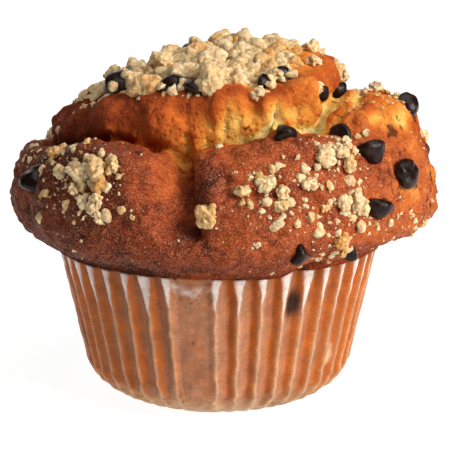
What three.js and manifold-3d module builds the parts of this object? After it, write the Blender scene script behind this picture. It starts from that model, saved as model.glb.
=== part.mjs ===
// A large bakery muffin: a burst, crumb-topped crown on a body that fills a pleated paper case, with
// chocolate drops baked into the crust.
//
// Millimetres, +Z up, -Y is the front. The origin is the middle of the flat foot that the case stands
// on. Azimuths are in degrees, 0 at the front and growing towards +X. Elevations are in degrees above
// the level of the crown's centre, seen from that centre.
import * as THREE from "three";
import { mergeVertices } from "three/addons/utils/BufferGeometryUtils.js";
import Module from "manifold-3d";

const wasm = await Module();
wasm.setup();

// ---------------------------------------------------------------- driving dimensions

const GAP = 0.3; // clearance between pieces that touch on the real muffin
const CASE = {
  footRadius: 16, // flat part of the bottom
  cornerRadius: 30.5, // where the rounded bottom corner meets the wall
  cornerHeight: 9.6,
  cornerPower: 1.75, // 2 rounds the corner as an ellipse, 1 cuts it straight
  flare: 0.22, // radius gained per millimetre of height above the corner
  wall: 0.4,
  pleats: 44, // as many as would go round if there were no panel
  pleatDepth: 1.7, // at the rim; the pleats fade out in the corner
  valley: 0.6, // where the valley lies between two ridges, as a share of the pitch
  panelStart: -17.2, // one stretch of wall has no pleats: the azimuths of the ridges beside it
  panelEnd: -0.8,
};
const WALL_LEVELS = [0, 0.05, 0.14, 0.26, 0.4, 1]; // rings of the wall, as shares of its height
const CROWN = {
  centre: new THREE.Vector3(1.5, 0, 43.8),
  reach: 47, // radius at the widest level, on average
  rise: 35.5, // shell height over the centre
  drop: 24, // depth under the centre to which the underside would run on
  lowest: -18, // elevation where the underside meets the case
};
const RIM_HEIGHT = 32.2; // where crown and case meet, before its rise and fall round the muffin
const LID_HEIGHT = 35; // top of the burst cap over the crown's centre
const DROP = { radius: 3, height: 4.2, sides: 6 };
const GOLDEN_ANGLE = 137.508;

// Values round the crown, as [azimuth, value], eased from one to the next.
const RIM_LINE = [
  // height of the line where crown and case meet
  [-180, 31.8], [-120, 32.6], [-90, 33.8], [-60, 35], [-30, 35.2], [0, 35.2], [20, 34.9], [27, 36.2],
  [36, 35.8], [60, 35.6], [90, 34.4], [120, 33],
];
const REACH = [
  // radius at the widest level
  [-180, 47], [-90, 46.4], [-55, 45.4], [0, 46.6], [52, 44.6], [88, 47.4], [120, 47],
];
const UNDERSIDE_POWER = [
  // 2 is a round underside, less is more of a cone
  [-180, 1.6], [-90, 1.6], [0, 1.5], [60, 1.35], [88, 1.28], [120, 1.4],
];
const CREST_ELEVATION = [
  [-180, 24], [-150, 22], [-118, 14], [-90, 15], [-70, 20], [-46, 26], [-27, 25], [-12, 23.5],
  [2, 27], [14, 29], [22, 33], [28, 29], [36, 28], [44, 30], [52, 34], [62, 35], [80, 32],
  [100, 29], [130, 25], [155, 25],
];
const CREST_FALL = [
  // millimetres that the rim's crust drops per degree past its crest
  [-180, 1.1], [-90, 0.8], [-50, 1.3], [0, 1.3], [40, 1.2], [70, 0.72], [110, 0.72], [140, 1],
];
const LID_RADIUS = [
  [-180, 32], [-140, 34], [-100, 37], [-80, 37], [-56, 33], [-36, 31], [-14, 29], [4, 29.5],
  [26, 30.5], [37, 30], [46, 27], [90, 26.2], [120, 28.5], [150, 31],
];
const LID_DROOP = [
  // how fast the lid's top falls away with the square of the radius
  [-180, 0.0105], [-120, 0.0135], [-90, 0.0118], [-45, 0.0095], [0, 0.007], [26, 0.007],
  [50, 0.0045], [90, 0.003], [125, 0.007],
];
const SHOULDER_RISE = 8.3; // extra shell height of the full shoulder on the right
const SHOULDER_AZIMUTH = 78;

// Splits in the crust: the line they follow upwards as [azimuth, elevation], their depth, and the
// width of the flank on each side of the line.
const FISSURES = [
  { path: [[-8, 2], [-9, 9], [-11, 17], [-14, 27], [-15, 34]], depth: 6.5, flanks: [12, 5.5], fade: 3.5 },
  { path: [[43, 28], [43, 36], [45, 42]], depth: 3.5, flanks: [4.5, 6], fade: 4 },
  { path: [[128, 6], [124, 16], [127, 30]], depth: 5, flanks: [8, 11], fade: 4 },
  { path: [[-136, 4], [-131, 14], [-134, 30]], depth: 5.5, flanks: [11, 8], fade: 4 },
];
// Bulges and hollows: [azimuth, elevation, radius, height]
const BULGES = [
  [-46, 8, 24, 1.6], [20, 8, 22, 1.2], [64, 12, 20, 1.2], [-92, 12, 22, 2.6], [158, 8, 24, 1.4],
  [19, 41, 6, 2.4], [34, 43, 7.5, 3], [2, 43, 6.5, 2.2], [-24, 36, 8, 2.2], [-50, 35, 9, 1.8],
  [72, 34, 10, 1.4], [48, 34, 7, 1.4], [-80, 36, 9, 1.2], [150, 38, 10, 2], [-150, 38, 10, 2],
  [-112, 62, 21, -4.2], [90, 81, 11, 1],
];

// Chocolate drops: [azimuth, elevation, size, tilt, turn]. A tilt of 0 stands the drop on its flat
// base, 90 lays it on its side and 180 shows the flat base; turn swings it about the crust's normal.
const DROPS = [
  [-58, 47, 1.3, 80, 60], [-70, 53, 0.9, 60, 30], [-66, 11, 1.15, 75, 95], [-25, 49, 0.95, 90, 20],
  [-13.5, 48.5, 0.95, 85, 130], [-60, 76, 0.9, 70, 0], [19, 50, 0.8, 90, 80], [30, 52, 0.9, 90, 10],
  [51, 46, 0.75, 60, 30], [93, 44, 0.8, 90, 60], [83, 29, 1.05, 80, 20], [19, 30, 0.85, 60, 200],
  [41, 28.5, 0.85, 90, 150], [48, 22, 1.15, 88, 40], [58, 14, 1.1, 180, 0], [46, 7, 1.1, 95, 30],
  [19, -2, 0.8, 90, 90], [37, -5, 0.75, 90, 0], [104, 22, 1, 180, 0], [118, 36, 1.05, 85, 50],
  [148, 12, 1.1, 90, 140], [165, 46, 1, 80, 20], [-170, 18, 0.95, 180, 0], [-150, 48, 1.1, 90, 75],
  [-118, 20, 1, 85, 110], [-104, 44, 0.95, 60, 0],
];

// Patches of baked-on crumble: [azimuth, elevation, spread in degrees, lumps, largest radius]
const CRUMBLE = [
  [0, 90, 35, 44, 3.3], [-37, 16, 6, 4, 2.3], [-46, 15, 6, 3, 1.9], [-35, 8, 3, 2, 1.9],
  [-60, 17, 5, 1, 1.8], [-4, 8, 1, 1, 2.2], [11, 14, 7, 3, 1.9], [22, 13, 8, 3, 1.6],
  [34, 22, 6, 4, 2.2], [37, 9, 5, 3, 2], [31, -1, 4, 2, 1.8], [82, 35, 7, 4, 1.7],
  [110, 15, 14, 3, 2], [160, 20, 16, 4, 2.1], [-160, 12, 14, 3, 2], [-110, 12, 12, 3, 2],
];

// ---------------------------------------------------------------- shared helpers

const RAD = Math.PI / 180;
const clamp01 = (x) => Math.min(1, Math.max(0, x));
const ease = (x) => clamp01(x) ** 2 * (3 - 2 * clamp01(x));
const wrapped = (degrees) => ((((degrees + 180) % 360) + 360) % 360) - 180;
const pairNorm = (a, b, power) => (a ** power + b ** power) ** (1 / power);
const softRamp = (x, round) => 0.5 * (x + Math.hypot(x, round)); // 0 below zero, x above it

// The value of a [azimuth, value] ring at any azimuth.
function around(ring, azimuth) {
  const at = wrapped(azimuth);
  const next = ring.findIndex(([a]) => a > at);
  const [a1, v1] = next < 0 ? [ring[0][0] + 360, ring[0][1]] : ring[next];
  const [a0, v0] = ring[next < 0 ? ring.length - 1 : next - 1];
  return v0 + (v1 - v0) * ease((at - a0) / (a1 - a0));
}

// The unit vector at an azimuth and elevation.
function direction(azimuth, elevation) {
  const [a, e] = [azimuth * RAD, elevation * RAD];
  return new THREE.Vector3(Math.sin(a) * Math.cos(e), -Math.cos(a) * Math.cos(e), Math.sin(e));
}

// The point at an azimuth, a distance from the case's axis and a height.
function standing(azimuth, radius, z) {
  return new THREE.Vector3(radius * Math.sin(azimuth * RAD), -radius * Math.cos(azimuth * RAD), z);
}

// The distance along the shell between two directions, in millimetres.
function alongShell(azimuth0, elevation0, azimuth1, elevation1) {
  const cosine = direction(azimuth0, elevation0).dot(direction(azimuth1, elevation1));
  return Math.acos(Math.min(1, Math.max(-1, cosine))) * CROWN.reach;
}

// Slow, smooth unevenness, from -1 to 1, with waves about the given length apart.
function waves(x, y, z, length) {
  const k = (2 * Math.PI) / length;
  return (
    (Math.sin(k * (x + 0.6 * y) + 1.3) +
      Math.sin(k * (0.8 * y - 0.5 * z) * 1.17 + 4.1) +
      Math.sin(k * (z + 0.45 * x - 0.3 * y) * 0.93 + 2.2) +
      Math.sin(k * (0.7 * x - 0.7 * y + 0.4 * z) * 1.41 + 5.3)) / 4
  );
}

// The height of the line where crown and case meet.
const rimHeight = (azimuth) => around(RIM_LINE, azimuth);

// The case's radius over its pleats' ridges, at a height.
function caseRadius(z) {
  const up = clamp01(z / CASE.cornerHeight);
  const corner = (1 - (1 - up) ** CASE.cornerPower) ** (1 / CASE.cornerPower);
  const lift = Math.max(0, z - CASE.cornerHeight) * CASE.flare;
  return CASE.footRadius + (CASE.cornerRadius - CASE.footRadius) * corner + lift;
}

// ---------------------------------------------------------------- the crown's surface

// How deep a split cuts at a direction.
function fissureDepth(fissure, azimuth, elevation) {
  const { path, depth, flanks, fade } = fissure;
  const [first, last] = [path[0], path[path.length - 1]];
  let [nearest, flank] = [Infinity, 0];
  for (let i = 1; i < path.length; i++) {
    const [[a0, e0], [a1, e1]] = [path[i - 1], path[i]];
    const shrink = Math.cos(((e0 + e1) / 2) * RAD);
    const [dx, dy] = [(a1 - a0) * shrink, e1 - e0];
    const [px, py] = [wrapped(azimuth - a0) * shrink, elevation - e0];
    const share = clamp01((px * dx + py * dy) / (dx * dx + dy * dy));
    const far = Math.hypot(px - share * dx, py - share * dy);
    if (far < nearest) [nearest, flank] = [far, px * dy < py * dx ? flanks[0] : flanks[1]];
  }
  const reach = (nearest * RAD * CROWN.reach) / flank;
  const ends = ease((elevation - first[1] + fade) / (2 * fade)) * ease((last[1] + fade - elevation) / fade);
  return depth * ends * Math.max(0, 1 - reach) ** 1.7;
}

// The distance from the crown's centre to its crust.
function crustRadius(azimuth, elevation) {
  const [cosE, sinE] = [Math.cos(elevation * RAD), Math.sin(elevation * RAD)];
  const facing = Math.max(0, Math.cos((azimuth - SHOULDER_AZIMUTH) * RAD));
  const rise = elevation > 0 ? CROWN.rise + SHOULDER_RISE * facing ** 1.5 : CROWN.drop;
  const power = elevation > 0 ? 2 : around(UNDERSIDE_POWER, azimuth);
  const shell = 1 / pairNorm(cosE / around(REACH, azimuth), Math.abs(sinE) / rise, power);
  const past = elevation - around(CREST_ELEVATION, azimuth);
  const split = FISSURES.reduce((sum, fissure) => sum + fissureDepth(fissure, azimuth, elevation), 0);
  const rim = Math.max(8, shell - around(CREST_FALL, azimuth) * softRamp(past, 2.5) - split);
  // The lid is a steep wall under a domed top.
  const droop = around(LID_DROOP, azimuth) * cosE * cosE;
  const top = (2 * LID_HEIGHT) / (sinE + Math.sqrt(sinE * sinE + 4 * droop * LID_HEIGHT));
  const wall = (around(LID_RADIUS, azimuth) * (1 - 0.0022 * (elevation - 35))) / Math.max(0.02, cosE);
  const lid = elevation > 0 ? 1 / pairNorm(1 / top, 1 / wall, 16) : 0;
  let radius = pairNorm(rim, lid, 60);
  for (const [a, e, size, height] of BULGES) {
    const far = alongShell(azimuth, elevation, a, e) / size;
    radius += height * Math.max(0, 1 - far * far) ** 2;
  }
  const at = direction(azimuth, elevation).multiplyScalar(CROWN.reach);
  const free = ease((elevation - CROWN.lowest) / 10);
  return radius + free * (0.55 * waves(at.x, at.y, at.z, 19) + 0.35 * waves(at.y, at.z, at.x, 8.5));
}

// Grid columns near a split are drawn aside to run along it, so that its bottom is one clean line.
function alongFissures(azimuth, elevation) {
  let shift = 0;
  for (const { path } of FISSURES) {
    const home = path[0][0];
    const far = Math.abs(wrapped(azimuth - home)) / 16;
    const next = Math.max(1, path.findIndex(([, e]) => e > elevation));
    const [[a0, e0], [a1, e1]] = [path[next - 1], path[next]];
    const at = a0 + (a1 - a0) * clamp01((elevation - e0) / (e1 - e0));
    if (far < 1) shift += (at - home) * (1 - far * far) ** 2;
  }
  return azimuth + shift;
}

// A point of the crust. Near the case it follows the tilt of the rim line.
function crustPoint(azimuth, elevation) {
  const point = direction(azimuth, elevation).multiplyScalar(crustRadius(azimuth, elevation));
  const low = 1 - ease((elevation - CROWN.lowest) / 16);
  point.z += low * (rimHeight(azimuth) - RIM_HEIGHT);
  return point.add(CROWN.centre);
}

// A frame on the crust: its point, and the outward normal.
function crustFrame(azimuth, elevation) {
  const step = 2.5;
  const [west, east] = [crustPoint(azimuth - step, elevation), crustPoint(azimuth + step, elevation)];
  const [below, above] = [crustPoint(azimuth, elevation - step), crustPoint(azimuth, elevation + step)];
  const normal = east.sub(west).cross(above.sub(below)).normalize();
  return { point: crustPoint(azimuth, elevation), normal };
}

// ---------------------------------------------------------------- solids

// A closed surface from rings of equally many points, from the bottom up, with a point at each end.
function skinned(bottom, rings, top) {
  const count = rings[0].length;
  const points = [bottom, ...rings.flat(), top];
  const triangles = [];
  for (let i = 0; i < count; i++) {
    const j = (i + 1) % count;
    triangles.push(0, 1 + j, 1 + i);
    for (let row = 0; row < rings.length - 1; row++) {
      const [low, high] = [1 + row * count, 1 + (row + 1) * count];
      triangles.push(low + i, low + j, high + j, low + i, high + j, high + i);
    }
    const last = 1 + (rings.length - 1) * count;
    triangles.push(last + i, last + j, points.length - 1);
  }
  const geometry = new THREE.BufferGeometry();
  geometry.setAttribute("position", new THREE.Float32BufferAttribute(points.flatMap((p) => p.toArray()), 3));
  geometry.setIndex(triangles);
  return geometry;
}

function toSolid(geometry) {
  const bare = geometry.clone();
  bare.deleteAttribute("normal");
  bare.deleteAttribute("uv");
  const merged = mergeVertices(bare, 1e-4);
  return new wasm.Manifold(
    new wasm.Mesh({
      numProp: 3,
      vertProperties: merged.attributes.position.array,
      triVerts: new Uint32Array(merged.index.array),
    }),
  );
}

function toGeometry(solid) {
  const { vertProperties, triVerts } = solid.getMesh();
  const geometry = new THREE.BufferGeometry();
  geometry.setAttribute("position", new THREE.BufferAttribute(vertProperties, 3));
  geometry.setIndex(new THREE.BufferAttribute(triVerts, 1));
  return geometry;
}

// The cake: the part inside the case, then the crown's underside, rim, crest and lid.
function cakeGeometry() {
  const columns = 90; // the splits start on columns
  const azimuths = Array.from({ length: columns }, (_, i) => (i * 360) / columns);
  const inset = CASE.wall + GAP + 0.2;
  const floor = CASE.wall + GAP;
  const bodyPoint = (azimuth, share) => {
    const top = rimHeight(azimuth) - 0.1;
    const z = floor + (top - floor) * share;
    const pleat = CASE.pleatDepth * pleatStrength(z);
    return standing(azimuth, caseRadius(z - floor) - inset - pleat, z);
  };
  const levels = WALL_LEVELS.filter((share) => share < 0.3 || share === 1);
  const rings = levels.map((share) => azimuths.map((a) => bodyPoint(a, share)));
  // The crust's lower edge spreads over the rim of the paper.
  rings.push(azimuths.map((a) => standing(a, caseRadius(rimHeight(a)) + 0.4, rimHeight(a))));
  const addCrustRing = (elevationAt) =>
    rings.push(azimuths.map((a) => crustPoint(alongFissures(a, elevationAt(a)), elevationAt(a))));
  for (const share of [0.07, 0.16, 0.27, 0.38, 0.5, 0.62, 0.74, 0.86, 0.95, 1]) {
    addCrustRing((a) => CROWN.lowest + (around(CREST_ELEVATION, a) - CROWN.lowest) * share);
  }
  for (const share of [0.045, 0.1, 0.17, 0.25, 0.34, 0.46, 0.6, 0.75, 0.89]) {
    addCrustRing((a) => around(CREST_ELEVATION, a) * (1 - share) + 90 * share);
  }
  return skinned(new THREE.Vector3(0, 0, floor), rings, crustPoint(0, 90));
}

// How much of their full depth the pleats have at a height.
function pleatStrength(z) {
  return ease((z - 2.5) / 9) * (0.62 + 0.38 * clamp01((z - CASE.cornerHeight) / 22));
}

// The folds of the paper round the case: [azimuth, 1 on a ridge or 0 in a valley].
function paperFolds() {
  const pitch = 360 / CASE.pleats;
  const folds = [];
  for (let ridge = CASE.panelEnd; ridge - 360 < CASE.panelStart - 1; ridge += pitch) {
    folds.push([ridge, 1]);
    folds.push([ridge + CASE.valley * pitch, 0]);
  }
  // The unpleated panel: a ridge at each edge and a flat middle.
  folds.push([360 + CASE.panelStart, 1]);
  for (const share of [0.16, 0.5, 0.84]) {
    folds.push([360 + CASE.panelStart + share * (CASE.panelEnd - CASE.panelStart), 0.45]);
  }
  return folds;
}

function caseGeometry() {
  const folds = paperFolds();
  const wallPoint = (azimuth, fold, z, inset) => {
    const pleat = CASE.pleatDepth * pleatStrength(z) * (1 - fold);
    return standing(azimuth, caseRadius(Math.max(0, z - inset)) - inset - pleat, z);
  };
  const ringsAt = (inset) =>
    WALL_LEVELS.map((share) =>
      folds.map(([a, fold]) => wallPoint(a, fold, inset + (rimHeight(a) - GAP - inset) * share, inset)),
    );
  const [outer, inner] = [ringsAt(0), ringsAt(CASE.wall)];
  inner[inner.length - 1].forEach((p, i) => (p.z = outer[outer.length - 1][i].z));
  const [under, over] = [new THREE.Vector3(0, 0, 0), new THREE.Vector3(0, 0, CASE.wall)];
  return skinned(under, [...outer, ...inner.reverse()], over);
}

// A chocolate drop, its base on z = 0, grown all round by a margin.
function dropGeometry(size, margin) {
  const { radius, height, sides } = DROP;
  const profile = [
    [0, -margin],
    [radius * 0.86 * size + margin, -margin],
    [radius * size + margin, height * 0.2 * size],
    [radius * 0.66 * size + margin, height * 0.66 * size],
    [0, height * size + margin * 1.3],
  ].map(([r, z]) => new THREE.Vector2(r, z));
  return new THREE.LatheGeometry(profile, sides).rotateX(Math.PI / 2);
}

// The place of a drop in the crust, sunk to about two thirds.
function dropMatrix([azimuth, elevation, size, tilt, turn]) {
  const { point, normal } = crustFrame(azimuth, elevation);
  const stand = new THREE.Quaternion().setFromUnitVectors(new THREE.Vector3(0, 0, 1), normal);
  const swing = new THREE.Quaternion().setFromAxisAngle(new THREE.Vector3(0, 0, 1), turn * RAD);
  const lean = new THREE.Quaternion().setFromAxisAngle(new THREE.Vector3(1, 0, 0), tilt * RAD);
  const rotation = stand.multiply(swing).multiply(lean);
  const middle = new THREE.Vector3(0, 0, -DROP.height * 0.4 * size).applyQuaternion(rotation);
  const sunk = Math.abs(Math.cos(tilt * RAD)) * 0.1 - 0.05;
  return new THREE.Matrix4().compose(
    point.addScaledVector(normal, sunk * size).add(middle),
    rotation,
    new THREE.Vector3(1, 1, 1),
  );
}

// Lumps of crumble on the crust, each patch filled from its middle outwards along a spiral.
function crumbleSolids() {
  const lumps = [];
  for (const [azimuth, elevation, spread, count, largest] of CRUMBLE) {
    for (let i = 0; i < count; i++) {
      const far = spread * Math.sqrt((i + 0.3) / count);
      const swing = i * GOLDEN_ANGLE * RAD;
      const e = elevation + far * Math.cos(swing);
      const a = azimuth + (far * Math.sin(swing)) / Math.max(0.2, Math.cos(elevation * RAD));
      // A patch over the pole is laid out round it.
      const [la, le] = elevation > 89 ? [(i * GOLDEN_ANGLE) % 360, 90 - far * 1.3] : [a, e];
      const radius = largest * (1 - 0.5 * ((i * 0.618) % 1));
      const { point, normal } = crustFrame(la, Math.min(88, le));
      const Shape = radius > 1.6 ? THREE.IcosahedronGeometry : THREE.OctahedronGeometry;
      const lump = new Shape(radius);
      const squash = 0.8 + 0.35 * ((i * 0.41) % 1);
      lump.scale(1, squash, 0.85).rotateX(i * 1.7).rotateY(i * 2.3);
      lump.translate(...point.addScaledVector(normal, radius * 0.25).toArray());
      lumps.push(toSolid(lump));
    }
  }
  return lumps;
}

// ---------------------------------------------------------------- the muffin

const CRUST_COLOUR = new THREE.MeshStandardMaterial({ color: 0x9c5526, roughness: 0.75, metalness: 0 });
const PAPER_COLOUR = new THREE.MeshStandardMaterial({ color: 0xb9713f, roughness: 0.5, metalness: 0 });
const CHOCOLATE_COLOUR = new THREE.MeshStandardMaterial({ color: 0x2b1713, roughness: 0.35, metalness: 0 });

const muffin = new THREE.Group();

function addMesh(name, geometry, material) {
  const mesh = new THREE.Mesh(geometry, material);
  mesh.name = name;
  muffin.add(mesh);
}

let cake = toSolid(cakeGeometry());
for (const lump of crumbleSolids()) cake = cake.add(lump);
DROPS.forEach((drop, i) => {
  const place = dropMatrix(drop);
  cake = cake.subtract(toSolid(dropGeometry(drop[2], GAP).applyMatrix4(place)));
  const name = "chocolate_drop_" + String(i + 1).padStart(2, "0");
  addMesh(name, dropGeometry(drop[2], 0).applyMatrix4(place), CHOCOLATE_COLOUR);
});
// Cutting a pocket can free a sliver of crust, which falls off.
const [whole] = cake.decompose().sort((a, b) => b.volume() - a.volume());
addMesh("muffin_cake", toGeometry(whole), CRUST_COLOUR);
addMesh("paper_case", caseGeometry(), PAPER_COLOUR);

export default muffin;
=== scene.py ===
"""A large bakery muffin: a burst crown with crumble and chocolate drops, in a pleated paper case.

Sizes are in millimetres and angles in degrees, and meshes are written in metres. The front is -Y
and +Z is up. Azimuths are 0 at the front and grow towards +X. Elevations are seen from the crown's
centre.
"""

from __future__ import annotations

import logging
import math
from collections.abc import Callable, Mapping, Sequence
from dataclasses import dataclass
from enum import Enum
from functools import partial
from itertools import product, starmap
from typing import Any

import bpy
import numpy as np
from mathutils import Matrix, Quaternion, Vector


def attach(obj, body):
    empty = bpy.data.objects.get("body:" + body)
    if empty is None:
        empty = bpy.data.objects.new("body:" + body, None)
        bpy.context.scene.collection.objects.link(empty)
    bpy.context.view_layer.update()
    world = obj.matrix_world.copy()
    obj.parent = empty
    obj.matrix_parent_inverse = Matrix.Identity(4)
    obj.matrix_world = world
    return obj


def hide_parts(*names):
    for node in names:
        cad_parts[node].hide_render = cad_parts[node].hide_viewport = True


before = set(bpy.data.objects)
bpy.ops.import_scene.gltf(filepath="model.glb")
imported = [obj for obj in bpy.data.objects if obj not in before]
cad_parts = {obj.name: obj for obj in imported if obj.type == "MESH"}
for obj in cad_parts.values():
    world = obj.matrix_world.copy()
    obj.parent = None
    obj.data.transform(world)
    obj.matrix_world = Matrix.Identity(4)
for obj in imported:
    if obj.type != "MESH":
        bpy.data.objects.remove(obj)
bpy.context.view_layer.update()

MM = 0.001
Ring = Sequence[tuple[float, float]]
Lump = tuple[Vector, Vector, float]
log = logging.getLogger("muffin")


# ------------------------------------------------------------------------------- small helpers


def srgb(code: str) -> tuple[float, float, float, float]:
    """Turns an sRGB hex colour into linear light.

    Args:
        code: Six hex digits, with or without a leading #.

    Returns:
        Linear red, green and blue, and an alpha of 1.
    """
    values = [int(code.lstrip("#")[i : i + 2], 16) / 255 for i in (0, 2, 4)]
    linear = [v / 12.92 if v <= 0.04045 else ((v + 0.055) / 1.055) ** 2.4 for v in values]
    return (*linear, 1.0)


def add_node(
    tree: bpy.types.NodeTree,
    kind: str,
    inputs: Mapping[str | int, Any] | None = None,
    stops: Sequence[tuple[float, str]] = (),
    **settings: Any,
) -> bpy.types.Node:
    """Adds a node with its settings and links.

    Args:
        tree: The node tree that it goes into.
        kind: The node's type name.
        inputs: What each input gets, by name or number: a value, an output socket, or a node, whose
            first output in use is taken. None leaves the input as it is.
        stops: Places and colours of a colour ramp.
        **settings: The node's properties.

    Returns:
        The node.
    """
    node = tree.nodes.new(kind)
    for name, value in settings.items():
        setattr(node, name, value)
    for key, value in (inputs or {}).items():
        if isinstance(value, bpy.types.Node):
            value = next(output for output in value.outputs if output.enabled)
        if isinstance(value, bpy.types.NodeSocket):
            tree.links.new(value, node.inputs[key])
        elif value is not None:
            node.inputs[key].default_value = value
    if stops:
        ramp = node.color_ramp
        while len(ramp.elements) < len(stops):
            ramp.elements.new(1.0)
        for element, (place, colour) in zip(ramp.elements, stops):
            element.position = place
            element.color = srgb(colour)
    return node


def ease(x: np.ndarray | float) -> np.ndarray:
    """Eases from 0 to 1 while x goes from 0 to 1."""
    x = np.clip(x, 0.0, 1.0)
    return x * x * (3 - 2 * x)


def wrapped(degrees: np.ndarray | float) -> np.ndarray:
    """The same angle, between -180 and 180 degrees."""
    return (np.asarray(degrees, float) + 180.0) % 360.0 - 180.0


def pair_norm(a: np.ndarray, b: np.ndarray, power: np.ndarray | float) -> np.ndarray:
    """Joins two distances smoothly: nearly the larger one where the power is high."""
    return (a**power + b**power) ** (1 / power)


def share_of(a: np.ndarray, b: np.ndarray, power: float) -> np.ndarray:
    """How far a outweighs b, from 0 to 1, and the more suddenly the higher the power is."""
    return a**power / (a**power + b**power)


def soft_ramp(x: np.ndarray, rounding: float) -> np.ndarray:
    """0 below zero and x above it, with a rounded corner."""
    return 0.5 * (x + np.hypot(x, rounding))


def around(ring: Ring, azimuth: np.ndarray | float) -> np.ndarray:
    """The value of a ring at any azimuth.

    Args:
        ring: Pairs of azimuth and value, from -180 upwards.
        azimuth: Where to read it.

    Returns:
        The values, eased from one pair to the next.
    """
    keys = np.array([a for a, _ in ring] + [ring[0][0] + 360.0])
    values = np.array([v for _, v in ring] + [ring[0][1]])
    at = wrapped(azimuth)
    i = np.clip(np.searchsorted(keys, at, side="right") - 1, 0, len(keys) - 2)
    return values[i] + (values[i + 1] - values[i]) * ease((at - keys[i]) / (keys[i + 1] - keys[i]))


def direction(azimuth: np.ndarray | float, elevation: np.ndarray | float) -> np.ndarray:
    """The unit vectors at azimuths and elevations."""
    a, e = np.radians(azimuth), np.radians(elevation)
    return np.stack([np.sin(a) * np.cos(e), -np.cos(a) * np.cos(e), np.sin(e) + 0 * a], -1)


def standing(azimuth: np.ndarray, radius: np.ndarray, z: np.ndarray) -> np.ndarray:
    """The points at azimuths, distances from the case's axis, and heights."""
    a = np.radians(azimuth)
    return np.stack([radius * np.sin(a), -radius * np.cos(a), z + 0 * a], -1)


def shell_degrees(
    azimuth: np.ndarray, elevation: np.ndarray, azimuth0: float, elevation0: float
) -> np.ndarray:
    """The angle between directions and one other direction, in degrees."""
    cosine = (direction(azimuth, elevation) * direction(azimuth0, elevation0)).sum(-1)
    return np.degrees(np.arccos(np.clip(cosine, -1, 1)))


def grid_normals(points: np.ndarray) -> np.ndarray:
    """Outward normals of a surface of rings.

    Args:
        points: Rings from the bottom up, as an array of rows, columns and coordinates.

    Returns:
        A unit vector for each point.
    """
    along = np.roll(points, -1, axis=1) - np.roll(points, 1, axis=1)
    padded = np.concatenate([points[:1], points, points[-1:]])
    normal = np.cross(along, padded[2:] - padded[:-2])
    return normal / np.maximum(1e-9, np.linalg.norm(normal, axis=-1, keepdims=True))


class Unevenness:
    """Random fields in space, with hills of a given size, the same on every run."""

    def __init__(self, seed: int) -> None:
        """Keeps the seed that tells one field from another."""
        self.seed = seed

    def _random(self, cell: np.ndarray, channel: int) -> np.ndarray:
        """Random numbers from 0 to 1, one for each whole-numbered cell of space."""
        mixed = np.full(cell.shape[:-1], self.seed * 7919 + channel * 104729 + 1, np.uint32)
        for axis in range(3):
            mixed ^= cell[..., axis].astype(np.int64).astype(np.uint32)
            mixed *= np.uint32(0x9E3779B1)
            mixed ^= mixed >> np.uint32(15)
            mixed *= np.uint32(0x85EBCA6B)
            mixed ^= mixed >> np.uint32(13)
        return mixed / 2.0**32

    def hills(self, points: np.ndarray, size: float) -> np.ndarray:
        """Smooth hills and hollows.

        Args:
            points: Where to read them, in millimetres.
            size: The distance from one hill to the next, about.

        Returns:
            Heights, nearly all between -1 and 1.
        """
        at = points / size * 1.6
        low = np.floor(at)
        part = at - low
        fade = part**3 * (part * (part * 6 - 15) + 10)
        total = np.zeros(points.shape[:-1])
        for corner in product((0, 1), repeat=3):
            step = np.array(corner)
            slope = np.stack([self._random(low + step, c) for c in range(3)], -1) * 2 - 1
            weight = np.prod(np.where(step == 1, fade, 1 - fade), -1)
            total += ((part - step) * slope).sum(-1) * weight
        return total * 1.9

    def pebbles(self, points: np.ndarray, size: float) -> np.ndarray:
        """A pebbled surface: 1 on the middle of each pebble, down to 0 in the creases."""
        at = points / size
        low = np.floor(at)
        nearest = np.full(points.shape[:-1], 9.0)
        for corner in product((-1, 0, 1), repeat=3):
            cell = low + np.array(corner)
            middle = cell + np.stack([self._random(cell, c) for c in range(3)], -1)
            nearest = np.minimum(nearest, ((at - middle) ** 2).sum(-1))
        return 1 - np.clip(np.sqrt(nearest), 0, 1)


def skinned(name: str, rings: np.ndarray, bottom: np.ndarray, top: np.ndarray) -> bpy.types.Mesh:
    """A closed mesh from rings of points, with a point at each end.

    Args:
        name: The mesh's name.
        rings: Rows, columns and coordinates in millimetres, from the bottom up.
        bottom: The point that closes the first ring.
        top: The point that closes the last ring.

    Returns:
        The mesh, in metres, smooth shaded. Its first vertex is the bottom, its last the top.
    """
    rows, columns = rings.shape[:2]
    points = np.concatenate([[bottom], rings.reshape(-1, 3), [top]]) * MM
    here = 1 + np.arange(rows * columns).reshape(rows, columns)
    east = np.roll(here, -1, axis=1)
    quads = np.stack([here[:-1], east[:-1], east[1:], here[1:]], -1).reshape(-1, 4)
    last = len(points) - 1
    fans = [(0, int(b), int(a)) for a, b in zip(here[0], east[0])]
    fans += [(int(a), int(b), last) for a, b in zip(here[-1], east[-1])]
    mesh = bpy.data.meshes.new(name)
    mesh.from_pydata(points.tolist(), [], quads.tolist() + fans)
    mesh.shade_smooth()
    return mesh


def paint(mesh: bpy.types.Mesh, name: str, rings: np.ndarray) -> None:
    """Writes a value for each vertex of a skinned mesh into a named attribute.

    Args:
        mesh: A mesh made by skinned.
        name: The attribute's name, which a material or a node tree reads.
        rings: One value for each point of its rings.
    """
    values = np.concatenate([[rings[0].mean()], rings.reshape(-1), [rings[-1].mean()]])
    attribute = mesh.attributes.new(name, "FLOAT", "POINT")
    attribute.data.foreach_set("value", values.astype(np.float32))


def placed(mesh: bpy.types.Mesh, material: bpy.types.Material | None = None) -> bpy.types.Object:
    """Puts a mesh into the scene as an object at the origin.

    Args:
        mesh: The mesh, whose name the object takes.
        material: The material of all its faces, if it has none yet.

    Returns:
        The object.
    """
    if material:
        mesh.materials.clear()
        mesh.materials.append(material)
    piece = bpy.data.objects.new(mesh.name, mesh)
    bpy.context.scene.collection.objects.link(piece)
    return piece


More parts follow.
